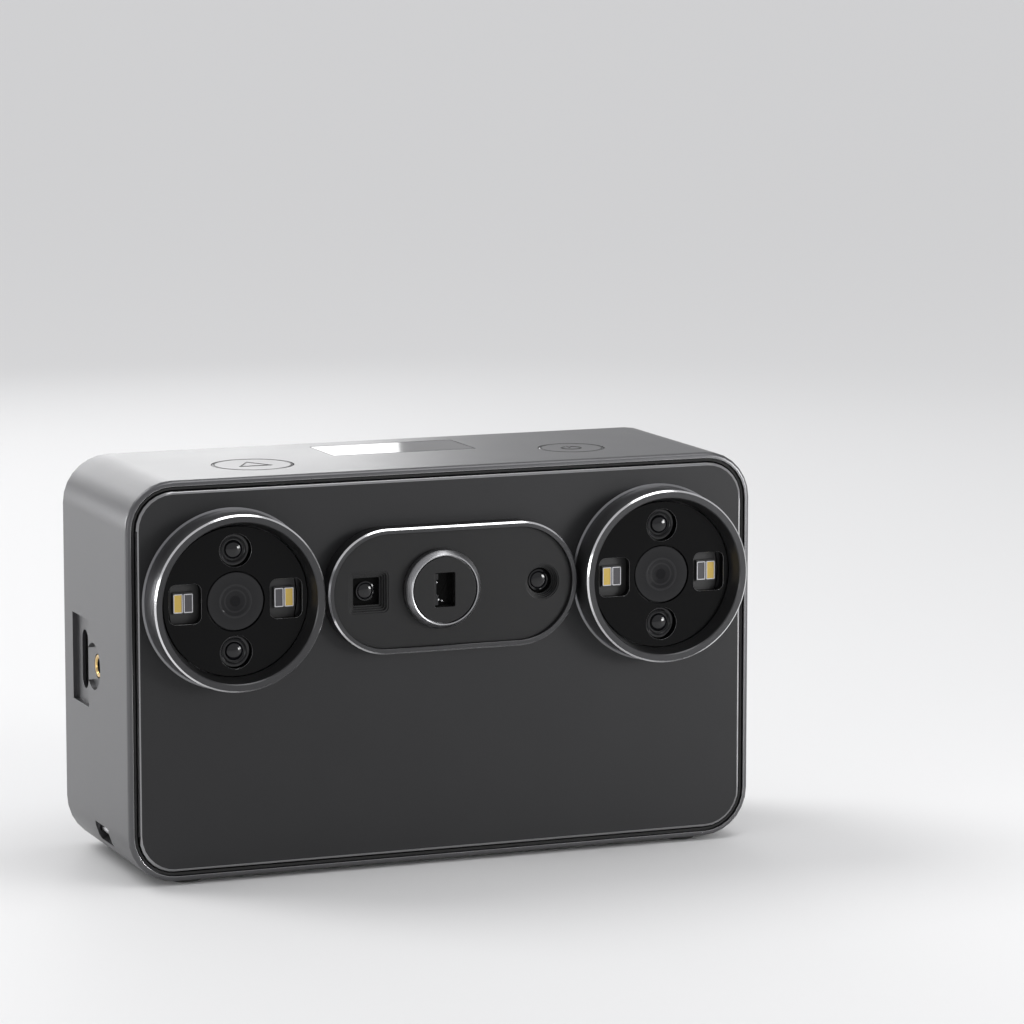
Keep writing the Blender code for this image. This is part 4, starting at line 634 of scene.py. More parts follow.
def mix_finishes(settings):
    """Make each shared material once. The number after its colour is its roughness."""
    frame_tone = tuple(settings.frame_colour)
    cover_tone = tuple(settings.cover_colour)
    bezel_tone = tuple(settings.bezel_colour)
    FINISHES.update({
        "frame": satin_metal("anodised_frame", frame_tone, 0.34, metallic=0.8),
        "cover": satin_metal("satin_cover", cover_tone, 0.4, metallic=0.5),
        "bezel": satin_metal("anodised_bezel", bezel_tone, 0.3, metallic=0.8),
        # The skirt is the bezel metal made four times lighter: painted sheen on its outer wall
        "skirt": satin_metal("anodised_skirt_painted_sheen", shaded(bezel_tone, 4), 0.34, metallic=0.95),
        # Lighter grey metal laid on bevels as painted highlight lines
        "painted_highlight_edge": satin_metal("painted_highlight_edge", (0.3, 0.3, 0.305), 0.3),
        # Near-white metal on chamfers and groove edges: painted highlight lines
        "cut_edge": satin_metal("cut_edge_painted_highlight", (0.75, 0.75, 0.76), 0.16),
        "steel": satin_metal("turned_steel", (0.5, 0.5, 0.51), 0.25),
        "milled": satin_metal("milled_aluminium", (0.55, 0.55, 0.56), 0.35),
        "brass": satin_metal("brass_insert", (0.72, 0.5, 0.2), 0.22),
        "gasket": rubber("gasket_rubber", (0.006, 0.006, 0.006)),
        "foot": rubber("foot_rubber", (0.02, 0.02, 0.02)),
        "plate": polished("module_plate_black", (0.002, 0.002, 0.0022), 0.16, shine=0.12),
        "dark_glass": polished("dark_glass", (0.003, 0.003, 0.004), 0.05),
        "screen_glass": polished("screen_glass_black", (0.004, 0.004, 0.0045), 0.06, shine=0.22),
        "gloss_panel": polished("gloss_panel_grey", (0.02, 0.02, 0.021), 0.06, shine=0.35),
        "window": satin_plastic("window_grey", (0.009, 0.009, 0.0093), 0.36, shine=0.3),
        # Near-black without reflection: painted shade for deep holes and funnels
        "painted_shade_well": satin_plastic("painted_shade_black", (0.0015, 0.0015, 0.0015), 0.7, shine=0.08),
        "black_plastic": satin_plastic("black_plastic", (0.008, 0.008, 0.008), 0.45),
        "ink": satin_plastic("printed_black", (0.004, 0.004, 0.004), 0.5),
        "pale_ink": satin_plastic("printed_grey", (0.45, 0.45, 0.46), 0.5),
        "white_frame": satin_plastic("ceramic_white", (0.6, 0.6, 0.62), 0.4),
        "cells": satin_plastic("battery_film", (0.03, 0.035, 0.05), 0.35, coat=0.3),
        "yellow_chip": phosphor("yellow_phosphor", (0.62, 0.42, 0.06)),
        "lilac_chip": phosphor("lilac_phosphor", (0.035, 0.033, 0.04)),
        "board": circuit_board("circuit_board"),
    })


# Settings
class ScannerLook(bpy.types.PropertyGroup):
    """Sizes and colours of the dressed pieces."""

    frame_colour: bpy.props.FloatVectorProperty(
        name="Frame", description="Colour of the ring frame and its small parts",
        subtype="COLOR", size=3, default=(0.115, 0.115, 0.119))
    cover_colour: bpy.props.FloatVectorProperty(
        name="Covers", description="Colour of the front and back covers",
        subtype="COLOR", size=3, default=(0.020, 0.020, 0.021))
    bezel_colour: bpy.props.FloatVectorProperty(
        name="Bezels", description="Colour of the raised rims round the lenses",
        subtype="COLOR", size=3, default=(0.055, 0.055, 0.057))
    edge_width: bpy.props.FloatProperty(
        name="Edge", description="Width of the rounded edges of the housing",
        unit="LENGTH", default=0.00028)
    fine_edge: bpy.props.FloatProperty(
        name="Fine edge", description="Width of the rounded edges of small pieces",
        unit="LENGTH", default=0.00012)
    ink_rise: bpy.props.FloatProperty(
        name="Print", description="Height of printed and lit marks over their surface",
        unit="LENGTH", default=0.00003)


class ModuleSizes(bpy.types.PropertyGroup):
    """Sizes of the round camera modules, front to back."""

    rim_width: bpy.props.FloatProperty(
        name="Rim", description="Width of the flat rim", unit="LENGTH", default=0.0023)
    cut_edge: bpy.props.FloatProperty(
        name="Cut edge", description="Width of the bright edge round the rim",
        unit="LENGTH", default=0.00045)
    base_flare: bpy.props.FloatProperty(
        name="Flare", description="How far the skirt spreads at its foot",
        unit="LENGTH", default=0.0008)
    seat_step: bpy.props.FloatProperty(
        name="Step", description="Width of the step outside the black plate",
        unit="LENGTH", default=0.0012)
    window_radius: bpy.props.FloatProperty(
        name="Window", description="Radius of the camera's window", unit="LENGTH", default=0.008)
    lamp_offset: bpy.props.FloatProperty(
        name="Lamp offset", description="Distance from the centre to a round lamp",
        unit="LENGTH", default=0.014)
    lamp_hole: bpy.props.FloatProperty(
        name="Lamp hole", description="Radius of a round lamp's hole", unit="LENGTH", default=0.0046)
    flash_offset: bpy.props.FloatProperty(
        name="Flash offset", description="Distance from the centre to a square lamp",
        unit="LENGTH", default=0.0144)
    flash_width: bpy.props.FloatProperty(
        name="Flash width", description="Width of a square lamp's hole", unit="LENGTH", default=0.0092)
    flash_height: bpy.props.FloatProperty(
        name="Flash height", description="Height of a square lamp's hole", unit="LENGTH", default=0.011)


class ScreenSizes(bpy.types.PropertyGroup):
    """Sizes of the picture on the screen."""

    picture_width: bpy.props.FloatProperty(
        name="Width", description="Width of the lit area", unit="LENGTH", default=0.1218)
    picture_height: bpy.props.FloatProperty(
        name="Height", description="Height of the lit area", unit="LENGTH", default=0.0685)


class StageSettings(bpy.types.PropertyGroup):
    """Light and camera."""

    floor_tone: bpy.props.FloatVectorProperty(
        name="Floor", description="Colour of the floor", subtype="COLOR", size=3,
        default=(0.77, 0.77, 0.77))
    key_power: bpy.props.FloatProperty(
        name="Key", description="Strength of the broad light above", default=1.1)
    fill_power: bpy.props.FloatProperty(
        name="Fill", description="Power of the lights behind and beside", unit="POWER", default=2.4)
    surroundings: bpy.props.FloatProperty(
        name="Surroundings", description="Strength of the light from all around", default=0.62)
    lens: bpy.props.FloatProperty(
        name="Lens", description="Focal length of the camera in millimetres", default=162.87)


def look():
    return bpy.context.scene.scanner_look


def module_sizes():
    return bpy.context.scene.scanner_module


# Housing
class SCANNER_OT_housing(bpy.types.Operator):
    """Ring frame, covers and gaskets, with their edges rounded"""

    bl_idname = "scanner.housing"
    bl_label = "Housing"

    # How far in from the faces the bands of painted highlight reach
    groove_depth = 0.4 * MM
    lip_depth = 0.6 * MM

    def execute(self, context):
        edge = look().edge_width
        ring = traced("middle_frame", "ring_frame", edge)
        stands_for(ring, "middle_frame", FINISHES["frame"])
        centre = middle("middle_frame")

        def on_groove(face):
            spot = face.calc_center_median()
            inwards = spot.x * face.normal.x + (spot.z - centre.z) * face.normal.z < 0
            return inwards and spot.y < BODY_LOW.y + self.groove_depth and tilted(face, 0.2, 0.97)

        # The frame's inner edges by the groove get near-white metal as painted highlight
        paint_band(ring, FINISHES["cut_edge"], on_groove)
        for side in ("front", "back"):
            node = side + "_cover"
            plate = traced(node, side + "_plate", edge * 2, 1)
            stands_for(plate, node, FINISHES["cover"])
            # The covers' edge bevels get lighter metal as painted highlight lines
            paint_band(plate, FINISHES["painted_highlight_edge"], lambda face: (
                tilted(face, 0.25, 0.97, side) and level_of(face, side) > -self.lip_depth))
            dress(side + "_gasket", FINISHES["gasket"])
        return {"FINISHED"}


# Camera modules
def bezel_profile(node):
    """Section of a round bezel, from its spigot out over the rim and down to the plate's ledge."""
    sizes = module_sizes()
    flare, cut_edge = sizes.base_flare, sizes.cut_edge
    low, high = span("front", node)
    plate_low, plate_high = span("front", node.replace("_bezel", "_module_plate"))
    base = extent(node).x / 2
    rim = base - flare
    mouth = rim - sizes.rim_width
    seat = mouth - sizes.seat_step
    spigot = base - 3.7 * MM
    bore = seat - 2.3 * MM
    ledge = plate_low - 0.3 * MM
    return [
        (spigot, low),
        (spigot, BEZEL_FOOT),
        (base, BEZEL_FOOT),
        (base - flare * 0.7, BEZEL_FOOT + flare * 0.4),
        (rim, BEZEL_FOOT + flare * 1.4),
        (rim, high - cut_edge),
        (rim - cut_edge, high),
        (mouth + cut_edge * 0.6, high),
        (mouth, high - cut_edge * 0.6),
        (mouth - sizes.seat_step * 0.9, plate_high + 0.2 * MM),
        (seat, plate_high),
        (seat, ledge),
        (bore, ledge),
        (bore, low),
    ]


class SCANNER_OT_bezels(bpy.types.Operator):
    """Raised rims round the two camera modules, with a painted highlight on the cut edge"""

    bl_idname = "scanner.bezels"
    bl_label = "Camera bezels"

    def execute(self, context):
        edge = module_sizes().cut_edge
        for name in MODULES:
            node = name + "_bezel"
            centre = middle(node)
            high = span("front", node)[1]
            rim = extent(node).x / 2 - module_sizes().base_flare
            ring = turned(name + "_rim", bezel_profile(node), 144, ring=True)
            set_on(ring, "front", centre)
            stands_for(ring, node, FINISHES["bezel"])
            # The rim's chamfer gets near-white metal as painted highlight
            paint_band(ring, FINISHES["cut_edge"], lambda face: (
                rim - edge < off_axis(face, centre) < rim and level_of(face) > high - edge * 0.9))
            # The outer wall gets the lighter copy of the bezel metal as painted sheen
            paint_band(ring, FINISHES["skirt"], lambda face: (
                off_axis(face, centre) > rim - 0.01 * MM and level_of(face) < high - edge))
            soften(ring, 0)
        return {"FINISHED"}


class SCANNER_OT_module_plates(bpy.types.Operator):
    """Black plates with round and square windows for the lamps"""

    bl_idname = "scanner.module_plates"
    bl_label = "Module plates"

    def execute(self, context):
        sizes = module_sizes()
        window = sizes.window_radius + 0.3 * MM
        for name in MODULES:
            node = name + "_module_plate"
            low, high = span("front", node)
            radius = extent(node).x / 2
            centre = middle(node)
            through = (low - OVER, high + OVER)
            plate = drum(name + "_black_plate", radius, low, high, 128)
            cut(plate, drum("window_cutter", window, *through, 96))
            for turn in (-1, 1):
                hole = drum("lamp_cutter", sizes.lamp_hole, *through)
                cut(plate, shift(hole, 0, turn * sizes.lamp_offset))
                hole = slab("flash_cutter", sizes.flash_width, sizes.flash_height, 2.0 * MM, *through)
                cut(plate, shift(hole, turn * sizes.flash_offset, 0))
            set_on(plate, "front", centre)
            stands_for(soften(plate, 0.25 * MM, 3), node, FINISHES["plate"])
            # The bevels of the plate's holes get lighter metal as painted highlight lines
            paint_band(plate, FINISHES["painted_highlight_edge"], lambda face: (
                tilted(face, 0.15, 0.93) and window + MM < off_axis(face, centre) < radius - MM))
        return {"FINISHED"}


class SCANNER_OT_camera_windows(bpy.types.Operator):
    """Smoked windows over the two large cameras, with a raised flat ring round a shallow dish"""

    bl_idname = "scanner.camera_windows"
    bl_label = "Camera windows"

    def execute(self, context):
        edge = 0.15 * MM
        for name in MODULES:
            node = name + "_camera_window"
            low, high = span("front", node)
            radius = extent(node).x / 2
            centre = middle(node)
            profile = [
                (radius, low), (radius, high - edge), (radius - edge, high),
                (0.55 * radius, high), (0.52 * radius, high - 0.12 * MM),
                (0.3 * radius, high - 0.3 * MM), (0.08 * radius, high - 0.38 * MM)]
            glass = set_on(turned(name + "_smoked_window", profile), "front", centre)
            soften(glass, 0, angle=20)
            stands_for(glass, node, smoked_lens(name + "_smoked_glass", centre))
        return {"FINISHED"}


class SCANNER_OT_lamps(bpy.types.Operator):
    """Round lamps: a cup with a domed lens in it, above and below each camera"""

    bl_idname = "scanner.lamps"
    bl_label = "Round lamps"

    def execute(self, context):
        for name in MODULES:
            for word in ("lower", "upper"):
                self.make_lamp(name + "_" + word)
        return {"FINISHED"}

    def make_lamp(self, name):
        node = name + "_lamp"
        low, high = span("front", node)
        radius = extent(node).x / 2
        lens = 0.62 * radius
        flange = low + 0.6 * MM
        lip = flange + 0.5 * MM
        profile = [
            (radius, low), (radius, lip), (radius - 0.35 * MM, lip),
            (lens + 0.4 * MM, flange), (lens, flange)]
        profile += dome(lens, flange, high - flange, quarter_turn(12))
        glass = soften(turned(name + "_dome", profile, 64), 0)
        set_on(glass, "front", middle(node))
        stands_for(glass, node, FINISHES["dark_glass"])
        crest = lens + 0.55 * MM
        outer, inner = crest + 0.35 * MM, crest - 0.2 * MM
        shoulder = flange + 0.35 * MM
        profile = [
            (outer, flange), (outer, shoulder), (crest, flange + 0.55 * MM),
            (inner, shoulder), (inner, flange)]
        collar = turned(name + "_collar", profile, 64, ring=True)
        rides(soften(set_on(collar, "front", middle(node)), 0), FINISHES["bezel"])


class SCANNER_OT_flashes(bpy.types.Operator):
    """Square lamps: a dark carrier with a yellow and a lilac chip, each in a pale frame"""

    bl_idname = "scanner.flashes"
    bl_label = "Square lamps"

    frame_width = 0.22 * MM
    recess = 0.15 * MM

    def execute(self, context):
        for name in MODULES:
            outward = 1 if middle(name + "_bezel").x > 0 else -1
            self.make_flash(name + "_inner", -outward)
            self.make_flash(name + "_outer", outward)
        return {"FINISHED"}

    def make_flash(self, name, yellow_side):
        node = name + "_flash"
        low, high = span("front", node)
        centre = middle(node)
        size = extent(node)
        base_top = low + 0.45 * MM
        base = slab(name + "_carrier", size.x, size.z, 0.3 * MM, low, base_top)
        set_on(soften(base, 0.08 * MM), "front", centre)
        stands_for(base, node, FINISHES["black_plastic"])
        width, height = size.x * 0.44, size.z * 0.86
        for side in (-1, 1):
            label = "yellow" if side == yellow_side else "lilac"
            rim = slab(name + "_" + label + "_frame", width, height, 0.25 * MM, base_top, high)
            edit(rim)
            choose(rim, "FACE", lambda face: face.normal.z > 0.9)
            bpy.ops.mesh.inset(thickness=self.frame_width)
            extrude(0, 0, -self.recess)
            leave()
            shift(rim, side * size.x * 0.25, 0)
            set_on(rim, "front", centre)
            rides(rim, FINISHES["white_frame"])
            paint_band(rim, FINISHES[label + "_chip"], lambda face: (
                face.normal.y < -0.9 and abs(level_of(face) - high + self.recess) < 0.02 * MM))
            soften(rim, 0)


# Centre module
class SCANNER_OT_centre_bezel(bpy.types.Operator):
    """Raised rim of the long centre module, with a painted highlight on its cut edge"""

    bl_idname = "scanner.centre_bezel"
    bl_label = "Centre bezel"

    rim_steps = 96
    edge = 0.45 * MM
    inner_edge = 0.12 * MM

    def execute(self, context):
        node = "centre_bezel"
        edge, inner_edge = self.edge, self.inner_edge
        centre = middle(node)
        high = span("front", node)[1]
        size = extent(node)
        outer = size.z / 2
        straight = size.x / 2 - outer
        mouth = extent("centre_window").z / 2 + 0.05 * MM
        profile = [
            (mouth, BEZEL_FOOT), (outer, BEZEL_FOOT), (outer, high - edge), (outer - edge, high),
            (mouth + inner_edge, high), (mouth, high - inner_edge)]
        rim = turned("centre_rim", profile, self.rim_steps, ring=True)
        edit(rim)
        # Turned by half a step, so that no corner lies between the two half rounds
        bpy.ops.transform.rotate(
            value=math.pi / self.rim_steps, orient_axis="Z", center_override=(0, 0, 0))
        for side in (-1, 1):
            choose(rim, "VERT", lambda corner: corner.co.x * side > 0)
            bpy.ops.transform.translate(value=(side * straight, 0, 0))
        leave()
        set_on(rim, "front", centre)
        rides(soften(rim, 0), FINISHES["bezel"])

        def on_outer_edge(face):
            spot = face.calc_center_median() - centre
            distance = math.hypot(max(abs(spot.x) - straight, 0), spot.z)
            return tilted(face, 0.2, 0.98) and distance > outer - edge and level_of(face) > high - edge

        # The outer chamfer gets near-white metal as painted highlight
        paint_band(rim, FINISHES["cut_edge"], on_outer_edge)
        spigot = traced(node, "centre_spigot", 0)
        edit(spigot)
        bpy.ops.mesh.bisect(plane_co=(0, COVER_FACE - BEZEL_FOOT, 0), plane_no=(0, -1, 0),
                            use_fill=True, clear_outer=True)
        leave()
        stands_for(soften(spigot, 0), node, FINISHES["bezel"])
        return {"FINISHED"}


class SCANNER_OT_centre_window(bpy.types.Operator):
    """Grey window with stepped funnels for a square and a round camera"""

    bl_idname = "scanner.centre_window"
    bl_label = "Centre window"

    # Steps of the funnels, their width or radius at the mouth, and how much they narrow
    steps = 5
    square_mouth, square_narrowing = 11.6 * MM, 4.0 * MM
    round_mouth, round_narrowing = 5.0 * MM, 1.4 * MM

    def execute(self, context):
        node = "centre_window"
        low, high = span("front", node)
        centre = middle(node)
        size = extent(node)
        window = slab("window_plate", size.x, size.z, size.z / 2 - 0.001 * MM, low, high, 32)
        hole = extent("projector_ring").x / 2 - 0.9 * MM
        tool = drum("projector_cutter", hole, low - OVER, high + OVER, 96)
        cut(window, shift(tool, middle("projector_ring").x - centre.x, 0))
        square_x = middle("square_camera").x - centre.x
        round_x = middle("round_camera").x - centre.x
        last = self.steps - 1
        for step in range(self.steps):
            share = step / last
            level = high - (high - low) * (step + 0.4) / self.steps
            if step == last:
                level = low - OVER
            width = self.square_mouth - self.square_narrowing * share
            corner = 1.2 * MM * (1.2 - share)
            tool = slab("square_cutter", width, width, corner, level, high + OVER, 6)
            cut(window, shift(tool, square_x, 0))
            radius = self.round_mouth - self.round_narrowing * share
            cut(window, shift(drum("round_cutter", radius, level, high + OVER), round_x, 0))
        set_on(window, "front", centre)
        stands_for(soften(window, 0.1 * MM), node, FINISHES["window"])
        return {"FINISHED"}


class SCANNER_OT_projector(bpy.types.Operator):
    """Bright ring, dark disc and slit window of the projector"""

    bl_idname = "scanner.projector"
    bl_label = "Projector"

    # Beads of the lens mount: their places off the disc's middle and their radii
    beads = (
        (-1.5 * MM, -2.9 * MM, 0.55 * MM),
        (-0.4 * MM, -3.3 * MM, 0.4 * MM),
        (-1.9 * MM, 1.9 * MM, 0.35 * MM),
    )
    bead_angles = (0, 0.2, 0.4, 0.6, 0.8, 1.0, 1.2, 1.4)

    def execute(self, context):
        self.make_ring()
        self.make_disc()
        self.make_slit()
        return {"FINISHED"}

    def make_ring(self):
        node = "projector_ring"
        low, high = span("front", node)
        centre = middle(node)
        base = span("front", "centre_window")[1] + 0.3 * MM
        seat = high - 2.2 * MM
        outer = extent(node).x / 2
        spigot = outer - 1.2 * MM
        throat = outer - 1.6 * MM
        bore = outer - 3.1 * MM
        profile = [
            (spigot, low), (spigot, base), (outer, base), (outer, high - 1.9 * MM),
            (outer - 0.3 * MM, high - 1.35 * MM), (outer - 1.1 * MM, high - 0.15 * MM),
            (outer - 1.3 * MM, high), (throat, high - 0.1 * MM), (throat, seat), (bore, seat),
            (bore, low)]
        ring = soften(set_on(turned("projector_rim", profile, 128, ring=True), "front", centre), 0)
        metal = turned_metal("projector_ring_metal", (0.42, 0.42, 0.43), centre, (0, 2), 0.32, 0.3)
        stands_for(ring, node, metal)

    def make_disc(self):
        node = "projector_disc"
        low, high = span("front", node)
        disc = drum("projector_face", extent(node).x / 2, low, high, 96)
        cut(disc, slab("slit_cutter", 5.9 * MM, 9.5 * MM, 0.3 * MM, low - OVER, high + OVER, 4))
        set_on(disc, "front", middle(node))
        stands_for(soften(disc, 0.15 * MM), node, FINISHES["window"])

    def make_slit(self):
        """A well in near-black painted shade, with a small stepped lens mount behind the slit."""
        edge = 0.08 * MM
        centre = middle("projector_disc")
        low, high = span("front", "projector_disc")
        floor = low - 0.6 * MM
        painted_shade_well = slab("slit_well", 6.6 * MM, 10.2 * MM, 0.3 * MM, low - 0.9 * MM, low - 0.05 * MM, 4)
        cut(painted_shade_well, slab("well_cutter", 5.5 * MM, 9.1 * MM, 0.3 * MM, floor, low + OVER, 4))
        rides(soften(set_on(painted_shade_well, "front", centre), edge), FINISHES["painted_shade_well"])
        step = slab("slit_step", 1.1 * MM, 8.9 * MM, 0.2 * MM, floor, low + 0.3 * MM, 4)
        notch = slab("step_cutter", 1.0 * MM, 4.2 * MM, 0.2 * MM, low - OVER, high, 4)
        cut(step, shift(notch, 0.5 * MM, 0.6 * MM))
        shift(step, -2.1 * MM, 0)
        rides(soften(set_on(step, "front", centre), edge), FINISHES["dark_glass"])
        for index, (x, z, radius) in enumerate(self.beads):
            profile = [(radius, floor)] + dome(radius, floor + 0.4 * MM, radius, self.bead_angles)
            bead = shift(turned("slit_bead_" + str(index), profile, 24), x, z)
            rides(soften(set_on(bead, "front", centre), 0), FINISHES["steel"])


class SCANNER_OT_small_cameras(bpy.types.Operator):
    """Lenses of the square and the round camera at the bottom of their funnels"""

    bl_idname = "scanner.small_cameras"
    bl_label = "Small cameras"

    # For each camera: the radius of its lens, and how far the lens is sunk
    cameras = (("square_camera", 2.7 * MM, 0), ("round_camera", 3.0 * MM, 0.5 * MM))

    def execute(self, context):
        for node, radius, sunk in self.cameras:
            # Camera bodies in painted shade, so that their funnels read deep
            dress(node, FINISHES["painted_shade_well"])
            base = span("front", node)[1] - sunk
            glass = base + 0.45 * MM
            profile = [
                (radius, base), (radius, base + 0.55 * MM), (radius * 0.88, base + 0.65 * MM),
                (radius * 0.8, glass)]
            profile += dome(radius * 0.78, glass, 0.5 * MM, quarter_turn(10))
            lens = soften(turned(node + "_lens", profile, 64), 0)
            rides(set_on(lens, "front", middle(node)), FINISHES["dark_glass"])
        return {"FINISHED"}


# Top
class SCANNER_OT_buttons(bpy.types.Operator):
    """The scan button with a triangle and the power button with a ring and a bar"""

    bl_idname = "scanner.buttons"
    bl_label = "Top buttons"

    def execute(self, context):
        rise = look().ink_rise
        for node in ("scan_button", "power_button"):
            self.make_cap(node, rise)
        triangle = outline_mark("scan_triangle", 3, 5.6 * MM, 0.95 * MM, INK_ROOT, rise)
        self.print_on("scan_button", triangle)
        ring = outline_mark("power_ring", 48, 3.0 * MM, 0.5 * MM, INK_ROOT, rise)
        gap = slab("power_gap_cutter", 1.7 * MM, 2.4 * MM, 0, -OVER, OVER)
        cut(ring, shift(gap, 0, 2.8 * MM))
        self.print_on("power_button", ring)
        bar = slab("power_bar", 0.5 * MM, 2.8 * MM, 0.2 * MM, INK_ROOT, rise, 4)
        self.print_on("power_button", shift(bar, 0, 2.3 * MM))
        return {"FINISHED"}

    def make_cap(self, node, rise):
        """A cap with a faintly dished top and a line round its edge."""
        edge = 0.25 * MM
        flange = extent(node).x / 2
        radius = flange - 1.4 * MM
        low = span("top", node)[0]
        collar = low + 0.8 * MM
        profile = [
            (flange, low), (flange, collar), (radius, collar),
            (radius, -edge), (radius - 0.08 * MM, -0.08 * MM), (radius - edge, 0),
            (radius * 0.5, -0.04 * MM), (radius * 0.1, -0.06 * MM)]
        cap = soften(set_on(turned(node + "_cap", profile), "top", middle(node)), 0, angle=25)
        stands_for(cap, node, FINISHES["frame"], node)
        line = outline_mark(node + "_line", 96, radius - edge, 0.55 * MM, INK_ROOT, rise * 0.5)
        self.print_on(node, line)

    def print_on(self, button, mark):
        rides(set_on(mark, "top", middle(button)), FINISHES["ink"], button)


class SCANNER_OT_top_panel(bpy.types.Operator):
    """The glossy panel between the buttons, with a polished bevel"""

    bl_idname = "scanner.top_panel"
    bl_label = "Top panel"

    def execute(self, context):
        low, high = span("top", "top_panel")
        size = extent("top_panel")
        panel = slab("gloss_panel", size.x, size.y, 0.8 * MM, low, high, 6)
        set_on(panel, "top", middle("top_panel"))
        stands_for(soften(panel, 0.35 * MM, 3), "top_panel", FINISHES["gloss_panel"])
        return {"FINISHED"}


# Screen
def lit(piece, material, x, z, level):
    """Lay a mark on the screen, at a distance from the picture's middle as seen from the back."""
    shift(piece, x, z)
    set_on(piece, "back", middle("display_panel"), level)
    rides(piece, material)


def number(name, text, height):
    """Digits as a thin mesh."""
    words = add(bpy.ops.object.text_add, name)
    words.data.body = text
    words.data.size = height
    words.data.align_x = "CENTER"
    words.data.align_y = "CENTER"
    words.data.extrude = 0.004 * MM
    bpy.ops.object.convert(target="MESH")
    piece = bpy.context.object
    piece.name = name
    return piece


class SCANNER_OT_screen(bpy.types.Operator):
    """Black glass with the lit picture area in it"""

    bl_idname = "scanner.screen"
    bl_label = "Screen"

    def execute(self, context):
        low, high = span("back", "screen_glass")
        size = extent("screen_glass")
        glass = slab("touch_glass", size.x, size.z, 4.2 * MM, low, high, 16)
        set_on(soften(glass, 0.3 * MM, 3), "back", middle("screen_glass"))
        stands_for(glass, "screen_glass", FINISHES["screen_glass"])
        sizes = context.scene.scanner_screen
        picture = slab("picture", sizes.picture_width, sizes.picture_height, 0.5 * MM, 0, SIGN_RISE, 4)
        lit(picture, lit_screen("picture_blue_grey"), 0, 0, 0)
        dress("display_panel", FINISHES["black_plastic"])
        return {"FINISHED"}


class SCANNER_OT_screen_marks(bpy.types.Operator):
    """The scanned jar, the distance bar, the numbers and the small signs on the screen"""

    bl_idname = "scanner.screen_marks"
    bl_label = "Screen marks"

    # How far each layer of marks lies over the one below it
    layer_rise = 0.012 * MM
    # Places from the picture's middle, in millimetres
    jar_place = (-2, -1)
    bar_x, bar_low, bar_high = -56.8, -20, 19
    thermometer_x = -54.9
    signal_place = (33.6, 26.6)
    reading_height = 28.6
    digit_height = 5.0

    def execute(self, context):
        self.pale = lit_mark("pale_sign", (0.6, 0.62, 0.65))
        self.make_jar()
        self.make_bar()
        self.make_left_signs()
        self.make_right_signs()
        return {"FINISHED"}

    def lay(self, piece, x, z, material=None, layer=1):
        """Lay a mark at a place in millimetres."""
        lit(piece, material or self.pale, x * MM, z * MM, self.layer_rise * layer)

    def sign(self, name, width, height, corner=0.0, steps=4):
        """A small flat plate, with its sizes in millimetres."""
        return slab(name, width * MM, height * MM, corner * MM, 0, SIGN_RISE, steps)

    def make_jar(self):
        """A plain jar, as a half-finished scan shows it."""
        steps = 32
        thin = 0.001 * MM
        rows = [(row / steps - 0.5) * JAR_HEIGHT for row in range(steps + 1)]
        jar = add(bpy.ops.mesh.primitive_plane_add, "scanned_jar", size=1, location=(0, 0, 0))
        edit(jar)
        stretch(jar_width(rows[0]) * 2 * MM, thin)
        bpy.ops.transform.translate(value=(0, rows[0] * MM, 0))
        for row, next_row in zip(rows, rows[1:]):
            top = row * MM + thin * 0.4
            choose(jar, "EDGE", lambda line: all(corner.co.y > top for corner in line.verts))
            extrude(0, (next_row - row) * MM, 0)
            stretch(jar_width(next_row) / jar_width(row), 1)
        bpy.ops.mesh.select_all(action="SELECT")
        extrude(0, 0, SIGN_RISE)
        face_out()
        x, z = self.jar_place
        # The screen faces back, so that its left is the body's right
        centre = middle("display_panel") + Vector((-x * MM, 0, z * MM))
        self.lay(jar, x, z, scanned_shape("scanned_blue", centre))

    def make_bar(self):
        low, high = self.bar_low, self.bar_high
        screen = middle("display_panel").z
        colours = scale_colours("distance_colours", screen + low * MM, screen + high * MM)
        self.lay(self.sign("distance_bar", 1.4, high - low), self.bar_x, (low + high) / 2, colours)
        self.lay(self.sign("distance_marker", 3.2, 1.6, 0.4), self.bar_x, 0.2, layer=2)
        self.lay(self.sign("caption_bar", 11, 1.3, 0.6, 6), -52.0, -25.0)

    def make_left_signs(self):
        """Thermometer with three short lines, and its number."""
        self.lay(self.sign("thermometer_stem", 1.2, 3.6, 0.5), self.thermometer_x, 29.4)
        self.lay(drum("thermometer_bulb", 1.3 * MM, 0, SIGN_RISE, 32), self.thermometer_x, 27.2)
        for index in range(3):
            length = 1.6 - 0.4 * index
            line = self.sign("thermometer_line_" + str(index), length, 0.45)
            self.lay(line, self.thermometer_x + 1.5 + length / 2, 30.8 - 1.1 * index)
        digits = number("thermometer_number", "24", self.digit_height * MM)
        self.lay(digits, -46.5, self.reading_height)

    def make_right_signs(self):
        """Signal arcs, the charge and its number."""
        self.lay(drum("signal_dot", 0.6 * MM, 0, SIGN_RISE, 24), *self.signal_place)
        for index in range(3):
            radius = (1.7 + 1.2 * index) * MM
            arc = outline_mark("signal_arc_" + str(index), 48, radius, 0.55 * MM, 0, SIGN_RISE)
            below = slab("arc_cutter", radius * 4, radius * 4, 0, -OVER, OVER)
            cut(arc, shift(below, 0, -radius * 2 + radius * 0.45))
            self.lay(arc, *self.signal_place)
        self.lay(number("charge_number", "80", self.digit_height * MM), 45.4, self.reading_height)
        shell = self.sign("charge_shell", 5.4, 3.9, 0.8, 6)
        cut(shell, slab("shell_cutter", 4.5 * MM, 3.0 * MM, 0.4 * MM, -OVER, OVER, 4))
        self.lay(shell, 55.0, self.reading_height)
        self.lay(self.sign("charge_level", 2.1, 2.4, 0.2), 55.9, self.reading_height)
        self.lay(self.sign("charge_cap", 0.6, 1.6, 0.2), 51.9, self.reading_height)


